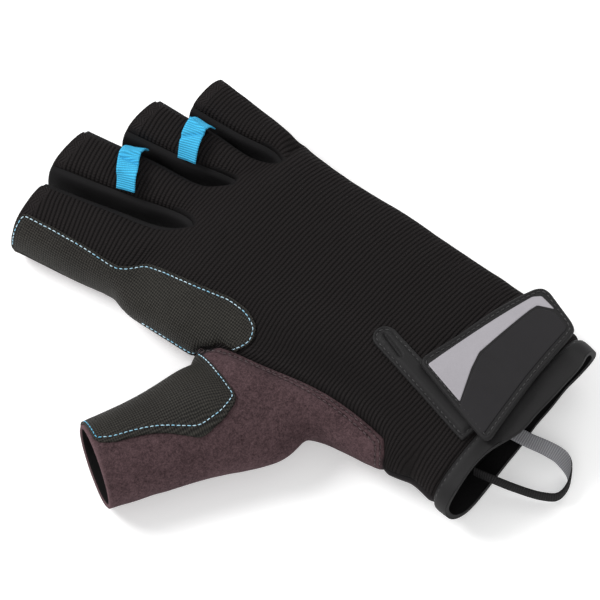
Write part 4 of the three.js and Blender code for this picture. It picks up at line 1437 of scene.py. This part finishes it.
class GLOVE_OT_grips(bpy.types.Operator):
    """Lay the two grip patches over the skin and sew them down"""

    bl_idname = "glove.grips"
    bl_label = "Grip patches"

    def execute(self, context):
        skin = shared_skin()
        turn = INDEX_GRIP["facing"]
        index = Plane(
            (math.cos(turn), 0, math.sin(turn)), (0, 1, 0), skin.tree(["knit_back", "palm_suede"]),
        )
        outline = patch_outline(INDEX_GRIP_EDGE, INDEX_GRIP)[:, ::-1]
        rows = [self.patch("index_grip", "index_grip_patch", index, outline, INDEX_GRIP)]
        turn, axis = THUMB_GRIP["facing"], THUMB_TURN
        inward = np.array([math.cos(axis), -math.sin(axis), 0])
        down = (math.cos(turn) * math.sin(axis), math.cos(turn) * math.cos(axis), -math.sin(turn))
        mouth = np.array([*THUMB_ROOT, 0]) @ inward - THUMB_LENGTH
        thumb = Plane(inward, down, skin.tree(["thumb_suede"]))
        outline = patch_outline(THUMB_GRIP_EDGE, THUMB_GRIP, mouth)
        rows.append(self.patch("thumb_grip", "thumb_grip_patch", thumb, outline, THUMB_GRIP))
        add_thread("grip_stitches", rows, "pale_thread", "grip")
        return {"FINISHED"}

    def patch(self, name, node, plane, outline, form):
        """One patch, and its row of stitches with the bluest of them at the finger's end."""
        sizes, _ = settings()
        ends = outline[list(form["bare"])]
        outline = counterclockwise(rounded(outline, GRIP_CORNER))
        flat, faces, edge = filled(outline, FILL_SPACING)
        height = profile(distance_to_line(flat, edge), GRIP_PROFILE, 2.99) * sizes.grip_height / MM
        piece = draped(plane, flat, faces, height)
        add_slab(name, piece, flat, "grip", "grip", node)
        line = evenly(inset(edge, GRIP_STITCH_DEPTH), LINE_SPACING)
        away = distance_to_line(line, ends, closed=False)
        line = open_line(line, away > GRIP_STITCH_DEPTH + 0.6)
        places, sewn, tints = sewn_on(
            plane, piece, line, THREAD_LIFT, sizes.stitch_length, sizes.stitch_gap,
            sizes.thread_radius / MM,
        )
        is_blue = places @ plane.along < outline[:, 0].min() + form["blue_end"]
        return places, sewn, np.where(is_blue, BLUEST, tints)


# The slit's end across and along the hand, the way it runs, its trim's length and breadth, and how
# far from its end the crease reaches.
SLIT = dict(length=51.0, crease=13.0, breadth=9.2, turn=math.radians(11), end=(-3.4, -11.8))
TRIM_OUTER = (
    (0, 0.05), (0.25, 0.75), (0.7, 0.95), (1.1, 0.9), (1.5, 0.45), (1.9, 0.75), (2.6, 1.35), (4.6, 1.5),
)
TRIM_CREASE = ((0, 0.0), (0.35, 0.15), (0.8, 0.95), (1.5, 1.5), (5.0, 1.6))
SLIT_STITCH_INSET = 1.5


class GLOVE_OT_slit_trim(bpy.types.Operator):
    """Bind the slit at the back of the wrist and sew its trim down"""

    bl_idname = "glove.slit_trim"
    bl_label = "Slit trim"

    def execute(self, context):
        sizes, _ = settings()
        skin = shared_skin()
        turn = SLIT["turn"]
        along = np.array([-math.sin(turn), -math.cos(turn), 0])
        across = np.array([math.cos(turn), -math.sin(turn), 0])
        plane = Plane(along, across, skin.tree(["knit_back", "cuff_binding"]))
        end = np.array([*SLIT["end"], 0])
        start, middle = end @ along, end @ across
        radius = SLIT["breadth"] / 2
        angles = np.linspace(math.pi / 2, 3 * math.pi / 2, 17)
        arc = [(start + radius + radius * math.cos(a), middle + radius * math.sin(a)) for a in angles]
        far = start + SLIT["length"]
        outline = np.array(arc + [(far, middle - radius), (far, middle + radius)])
        flat, faces, edge = filled(outline, 0.5)
        depth = distance_to_line(flat, edge)
        crease = np.array([(start + radius * 0.7, middle + 0.5), (start + SLIT["crease"], middle - 0.6)])
        fold_depth = distance_to_line(flat, crease, closed=False)
        height = np.minimum(profile(depth, TRIM_OUTER, 4.5), profile(fold_depth, TRIM_CREASE, 4.9))
        wrinkle = np.sin((flat[:, 0] - start) * 2.1 + 0.8 * np.sin(flat[:, 1] * 1.7))
        near_end = smoothstep(start + 16, start + 4, flat[:, 0])
        height = height + 0.06 * wrinkle * near_end * smoothstep(0.3, 1.2, depth)
        piece = draped(plane, flat, faces, height)
        add_slab("slit_trim", piece, flat, "trim", "trim", "slit_binding")
        line = inset(edge, SLIT_STITCH_INSET, 0.4)
        line = open_line(line, line[:, 0] < far - 0.8)
        row = sewn_on(plane, piece, line, 0.04, sizes.trim_stitch, sizes.trim_gap, TRIM_THREAD, 3)
        add_thread("slit_stitches", [row], "dark_thread", "trim")
        return {"FINISHED"}


STRAP = dict(start=-15.0, low=-69.4, length=62.0, breadth=38.0, thickness=1.6)
STRAP_EDGE = (
    (0.153, 1.01), (0.403, 0.9), (0.677, 0.824), (0.887, 0.74), (0.982, 0.695), (1.003, 0.605),
    (0.974, 0.484), (0.91, 0.182), (0.865, 0.14), (0.477, 0.087), (0.0, 0.0),
)
SILVER_EDGE = (
    (0.172, 0.905), (0.897, 0.66), (0.937, 0.608), (0.918, 0.432), (0.869, 0.568),
    (0.815, 0.584), (0.411, 0.634), (0.305, 0.584), (0.108, 0.452),
)
PANEL_EDGE = (
    (0.075, 0.42), (0.306, 0.558), (0.413, 0.608), (0.815, 0.557), (0.86, 0.536),
    (0.9, 0.4), (0.87, 0.215), (0.477, 0.165), (0.03, 0.084),
)
STRAP_PROFILE = (
    (0, -0.85), (0.12, -0.35), (0.35, 0.05), (0.8, 0.28), (1.3, 0.22), (1.7, -0.18), (2.1, -0.02), (3.0, 0.0),
)


STRAP_CORNER = 2.2
STRAP_STITCH_INSET = 1.7
# A facing's node, outline, finish and slot, height on the strap and rounding of its corners.
STRAP_FACINGS = (
    ("reflective_patch", SILVER_EDGE, "silver", 0.12, 0.3),
    ("strap_panel", PANEL_EDGE, "panel", 0.26, 1.0),
)


def surface_terms(x, y):
    """The terms of the smooth sheet that is fitted to the strap."""
    x, y = np.asarray(x) / 40, np.asarray(y) / 40
    return np.stack([np.ones_like(x), x, y, x * y, x**2, y**2, x**3, x**2 * y, x * y**2, x**4, x**3 * y], 1)


class StrapSheet:
    """The strap's smooth upper face, fitted to its solid."""

    def __init__(self):
        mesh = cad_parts["wrist_strap"].data
        tops = [
            list(mesh.vertices[i].co / MM) for p in mesh.polygons if p.normal.z > 0.6 for i in p.vertices
        ]
        tops = np.array(tops)
        self.fit = np.linalg.lstsq(surface_terms(tops[:, 0], tops[:, 1]), tops[:, 2], rcond=None)[0]

    def lay(self, flat, faces, lift, thickness):
        """A closed sheet over the strap: how far its top stands above it, and how thick it is."""
        base = np.column_stack([flat, surface_terms(flat[:, 0], flat[:, 1]) @ self.fit])
        normals = normals_of(base, faces)
        top = base + normals * lift[:, None]
        return slab(top, base + normals * (lift - thickness)[:, None], faces)


class GLOVE_OT_strap(bpy.types.Operator):
    """Lay the wrist strap with its bound edge, its reflective patch and its plain panel"""

    bl_idname = "glove.strap"
    bl_label = "Wrist strap"

    def execute(self, context):
        sizes, _ = settings()
        shared_skin()
        sheet = StrapSheet()
        flat, faces, edge = filled(rounded(patch_outline(STRAP_EDGE, STRAP), STRAP_CORNER), FILL_SPACING)
        depth = distance_to_line(flat, edge)
        lift = profile(depth, STRAP_PROFILE, 2.99)
        thin = np.minimum(STRAP["thickness"], 0.25 + 2.4 * depth) + lift * 0.6
        piece = sheet.lay(flat, faces, lift, np.maximum(thin, 0.2))
        add_slab("wrist_strap", piece, flat, "trim", "trim", "wrist_strap")
        for row in STRAP_FACINGS:
            self.facing(sheet, *row)
        plane = Plane((1, 0, 0), (0, 1, 0))
        line = inset(edge, STRAP_STITCH_INSET, LINE_SPACING)
        row = sewn_on(plane, piece, line, THREAD_LIFT, sizes.trim_stitch, sizes.trim_gap, STRAP_THREAD, 5)
        add_thread("strap_stitches", [row], "dark_thread", "trim")
        return {"FINISHED"}

    def facing(self, sheet, node, edge, finish, lift, corner):
        """A thin facing on the strap."""
        flat, faces, border = filled(rounded(patch_outline(edge, STRAP), corner), 1.6, (0.2, 0.5, 1.0))
        top = lift * smoothstep(-0.15, 0.25, distance_to_line(flat, border))
        piece = sheet.lay(flat, faces, top + 0.02, 0.2 + top)
        add_slab(node, piece, flat, finish, finish, node)


CREASE_WIDTH = 0.75


def tape(path, breadths, form, columns=8, creases=()):
    """A flat woven tape along a path: rounded edges, its own across and along, and each face's side.

    A crease is where it is as a share of the length, its slant in millimetres and its height.
    """
    breadth, thickness = form["breadth"], form["thickness"]
    run = unit(np.gradient(path, axis=0))
    side = unit(breadths - run * (breadths * run).sum(1, keepdims=True))
    up = np.cross(side, run)
    along = np.concatenate([[0], np.cumsum(np.linalg.norm(np.diff(path, axis=0), axis=1))])
    shares = np.linspace(-1, 1, columns + 1)
    loop = [(s, 1.0) for s in shares] + [(s, -1.0) for s in shares[::-1]]
    points, coordinates = [], []
    for i in range(len(path)):
        for share, face in loop:
            thin = 1 - 0.55 * abs(share) ** 6
            cup = 0.04 * breadth * share**2
            for at, slant, rise in creases:
                beside = along[i] - at * along[-1] - slant * share
                cup -= rise * math.exp(-((beside / CREASE_WIDTH) ** 2))
            point = path[i] + side[i] * share * breadth / 2
            points.append(point + up[i] * (face * thickness / 2 * thin - cup))
            coordinates.append((share * breadth / 2, along[i]))
    size, faces, sides = len(loop), [], []
    for i in range(len(path) - 1):
        for k in range(size):
            a, b = i * size + k, i * size + (k + 1) % size
            faces.append((a, a + size, b + size, b))
            sides.append(int(k > columns))
    last = (len(path) - 1) * size
    faces.append(tuple(range(size)))
    faces.append(tuple(last + k for k in reversed(range(size))))
    return np.array(points), faces, np.array(coordinates), sides + [1, 1]


TAB = dict(breadth=7.5, thickness=0.7)
TAB_LIFT = 0.55
# For each tab: its places across and along the hand, its rise and its turn at each of them, in
# degrees, and its creases.
TABS = {
    "pull_tab_middle": (
        (
            (-14.2, 91.6), (-13.1, 92.3), (-11.0, 93.8), (-7.6, 96.2), (-3.4, 98.6), (0.4, 100.0),
            (2.6, 100.4),
        ),
        (0.0, 0.9, 3.2, 3.4, 2.9, 1.2, 0.0), (0, 0, 2, 10, 28, 30, 26),
        ((0.46, 1.5, 1.2), (0.57, -1.1, -0.9)),
    ),
    "pull_tab_ring": (
        (
            (8.9, 83.6), (10.0, 84.2), (12.4, 85.4), (16.0, 86.8), (19.8, 88.0), (23.0, 88.4),
            (24.8, 88.2),
        ),
        (0.0, 0.8, 2.6, 3.6, 3.2, 1.4, 0.0), (0, 0, 2, 6, 10, 6, 4),
        ((0.42, -1.8, 1.0), (0.62, 1.2, -0.8)),
    ),
}


class GLOVE_OT_pull_tabs(bpy.types.Operator):
    """Bridge the middle and ring fingers with the two blue tapes"""

    bl_idname = "glove.pull_tabs"
    bl_label = "Pull tabs"

    def execute(self, context):
        finish = finish_named("blue_tape")
        tree = shared_skin().tree(["knit_back", *GUSSETS.values()])
        for name, (places, rises, turns, creases) in TABS.items():
            flat = smooth_line(np.column_stack([places, rises, turns]), 0.45)
            path = []
            for x, y, rise, _ in flat:
                heights = [
                    tree.ray_cast(Vector((x + dx, y + dy, 200)), Vector((0, 0, -1)))[0]
                    for dx in (-0.8, 0, 0.8) for dy in (-3, 0, 3)
                ]
                path.append((x, y, max(h.z for h in heights if h is not None) + TAB_LIFT + rise))
            path = np.array(path)
            for _ in range(6):
                path[1:-1] = path[1:-1] * 0.5 + (path[:-2] + path[2:]) * 0.25
            angles = np.radians(flat[:, 3])
            breadths = np.column_stack([-np.sin(angles), np.cos(angles), np.zeros(len(angles))])
            points, faces, coordinates, _ = tape(path, breadths, TAB, 12, creases)
            made_object(name, points, faces, [finish], "blue_tape", [name], coordinates)
        return {"FINISHED"}


# The loop's tape, how far it reaches past the cuff, how wide its bow is, and where it starts. Each
# row of its run is a share of the width, a share of the reach, the height of the tape's middle as a
# share of its breadth, and how upright the tape stands, from 0 to 1.
LOOP = dict(breadth=5.5, thickness=0.9, reach=28.0, width=25.0, corner=(-15.4, -64.0))
LOOP_RUN = (
    (0.86, 0.0, 0.78, 0.0), (0.9, 0.22, 0.78, 0.0), (0.98, 0.5, 0.7, 0.1), (1.0, 0.68, 0.65, 0.35),
    (0.92, 0.86, 0.62, 0.7), (0.74, 0.98, 0.6, 1.0), (0.5, 0.99, 0.6, 1.0), (0.36, 0.84, 0.62, 1.0),
    (0.2, 0.52, 0.8, 1.0), (0.07, 0.25, 1.2, 1.0), (0.0, 0.02, 1.25, 1.0),
)


class GLOVE_OT_hang_loop(bpy.types.Operator):
    """Bend the woven tape of the hang loop"""

    bl_idname = "glove.hang_loop"
    bl_label = "Hang loop"

    def execute(self, context):
        grey = finish_named("grey_tape")
        rows = np.array(LOOP_RUN)
        x = LOOP["corner"][0] + rows[:, 0] * LOOP["width"]
        y = LOOP["corner"][1] - rows[:, 1] * LOOP["reach"]
        z = rows[:, 2] * LOOP["breadth"]
        line = smooth_line(np.column_stack([x, y, z, rows[:, 3] * 5]), 0.5)
        angles = line[:, 3] / 5 * math.pi / 2
        breadths = np.column_stack([np.cos(angles), np.zeros(len(line)), np.sin(angles)])
        points, faces, coordinates, sides = tape(line[:, :3], breadths, LOOP)
        made_object(
            "hang_loop", points, faces, [finish_named("black_tape"), grey], "grey_tape", ["hang_loop"],
            coordinates, finish_numbers=sides,
        )
        return {"FINISHED"}


# The camera of the picture: its direction, the width of what it sees and its target in millimetres.
VIEW = dict(azimuth=math.radians(-50), elevation=math.radians(60), width=206.9, lens=400.0)
VIEW_TARGET = (-1.1, 24.2, 5.6)
SENSOR_WIDTH = 36.0
# Each lamp's name, place and size in metres, and its power in watts.
LAMPS = (
    ("key_light", (-0.35, 0.85, 0.9), 0.5, 11.0),
    ("fill_light", (-0.9, -0.5, 0.8), 0.8, 3.5),
    ("side_light", (0.9, 0.1, 0.7), 0.7, 3.0),
)


class GLOVE_OT_stage(bpy.types.Operator):
    """Set up the floor, the soft lights and the camera"""

    bl_idname = "glove.stage"
    bl_label = "Stage"

    def execute(self, context):
        bpy.ops.object.select_all(action="DESELECT")
        bpy.ops.mesh.primitive_plane_add(size=6, location=(0, 0, 0))
        floor = bpy.context.object
        floor.name = "studio_floor"
        bpy.ops.object.mode_set(mode="EDIT")
        bpy.ops.mesh.select_all(action="SELECT")
        bpy.ops.transform.translate(value=(0, 0, -0.0002))
        bpy.ops.mesh.subdivide(number_cuts=4)
        bpy.ops.object.mode_set(mode="OBJECT")
        floor.data.materials.append(finish_named("floor"))
        self.camera()
        self.lights()
        return {"FINISHED"}

    def camera(self):
        azimuth, elevation = VIEW["azimuth"], VIEW["elevation"]
        back = Vector((
            math.sin(azimuth) * math.cos(elevation),
            -math.cos(azimuth) * math.cos(elevation),
            math.sin(elevation),
        ))
        data = bpy.data.cameras.new("photo_camera")
        data.lens, data.sensor_width = VIEW["lens"], SENSOR_WIDTH
        distance = VIEW["width"] * MM * VIEW["lens"] / SENSOR_WIDTH
        data.clip_end = 50
        place = Vector(VIEW_TARGET) * MM + back * distance
        bpy.context.scene.camera = self.placed(data, place, (-back).to_track_quat("-Z", "Y"))

    def placed(self, data, place, turn):
        """A camera or a lamp, at its place and turned."""
        thing = bpy.data.objects.new(data.name, data)
        bpy.context.scene.collection.objects.link(thing)
        thing.location = place
        thing.rotation_mode = "QUATERNION"
        thing.rotation_quaternion = turn
        return thing

    def lights(self):
        for name, place, size, power in LAMPS:
            data = bpy.data.lights.new(name, "AREA")
            data.size, data.energy = size, power
            self.placed(data, place, Vector(place).to_track_quat("Z", "Y"))
        world = bpy.data.worlds.new("studio")
        world.use_nodes = True
        background = world.node_tree.nodes["Background"]
        background.inputs["Color"].default_value = (1, 1, 1, 1)
        background.inputs["Strength"].default_value = 0.5
        bpy.context.scene.world = world
        bpy.context.scene.view_settings.view_transform = "Standard"


class GLOVE_PT_panel(bpy.types.Panel):
    """The glove's pieces, sizes and colours"""

    bl_idname = "GLOVE_PT_panel"
    bl_label = "Climbing Glove"
    bl_space_type = "VIEW_3D"
    bl_region_type = "UI"
    bl_category = "Glove"

    def draw(self, context):
        for operator in OPERATORS:
            self.layout.operator(operator.bl_idname)
        for group in (context.scene.glove_sizes, context.scene.glove_colours):
            for name in group.__annotations__:
                self.layout.prop(group, name)


OPERATORS = (
    GLOVE_OT_skin,
    GLOVE_OT_grips,
    GLOVE_OT_slit_trim,
    GLOVE_OT_strap,
    GLOVE_OT_pull_tabs,
    GLOVE_OT_hang_loop,
    GLOVE_OT_stage,
)
CLASSES = (GloveSizes, GloveColours, *OPERATORS, GLOVE_PT_panel)


def register():
    """Registers the settings, the operators and the panel."""
    for cls in CLASSES:
        bpy.utils.register_class(cls)
    bpy.types.Scene.glove_sizes = bpy.props.PointerProperty(type=GloveSizes)
    bpy.types.Scene.glove_colours = bpy.props.PointerProperty(type=GloveColours)


def unregister():
    """Removes the panel, the operators and the settings."""
    del bpy.types.Scene.glove_colours
    del bpy.types.Scene.glove_sizes
    for cls in reversed(CLASSES):
        bpy.utils.unregister_class(cls)


def main():
    """Makes every piece and the stage."""
    register()
    for operator in OPERATORS:
        group, name = operator.bl_idname.split(".")
        getattr(getattr(bpy.ops, group), name)()


if __name__ == "__main__":
    main()
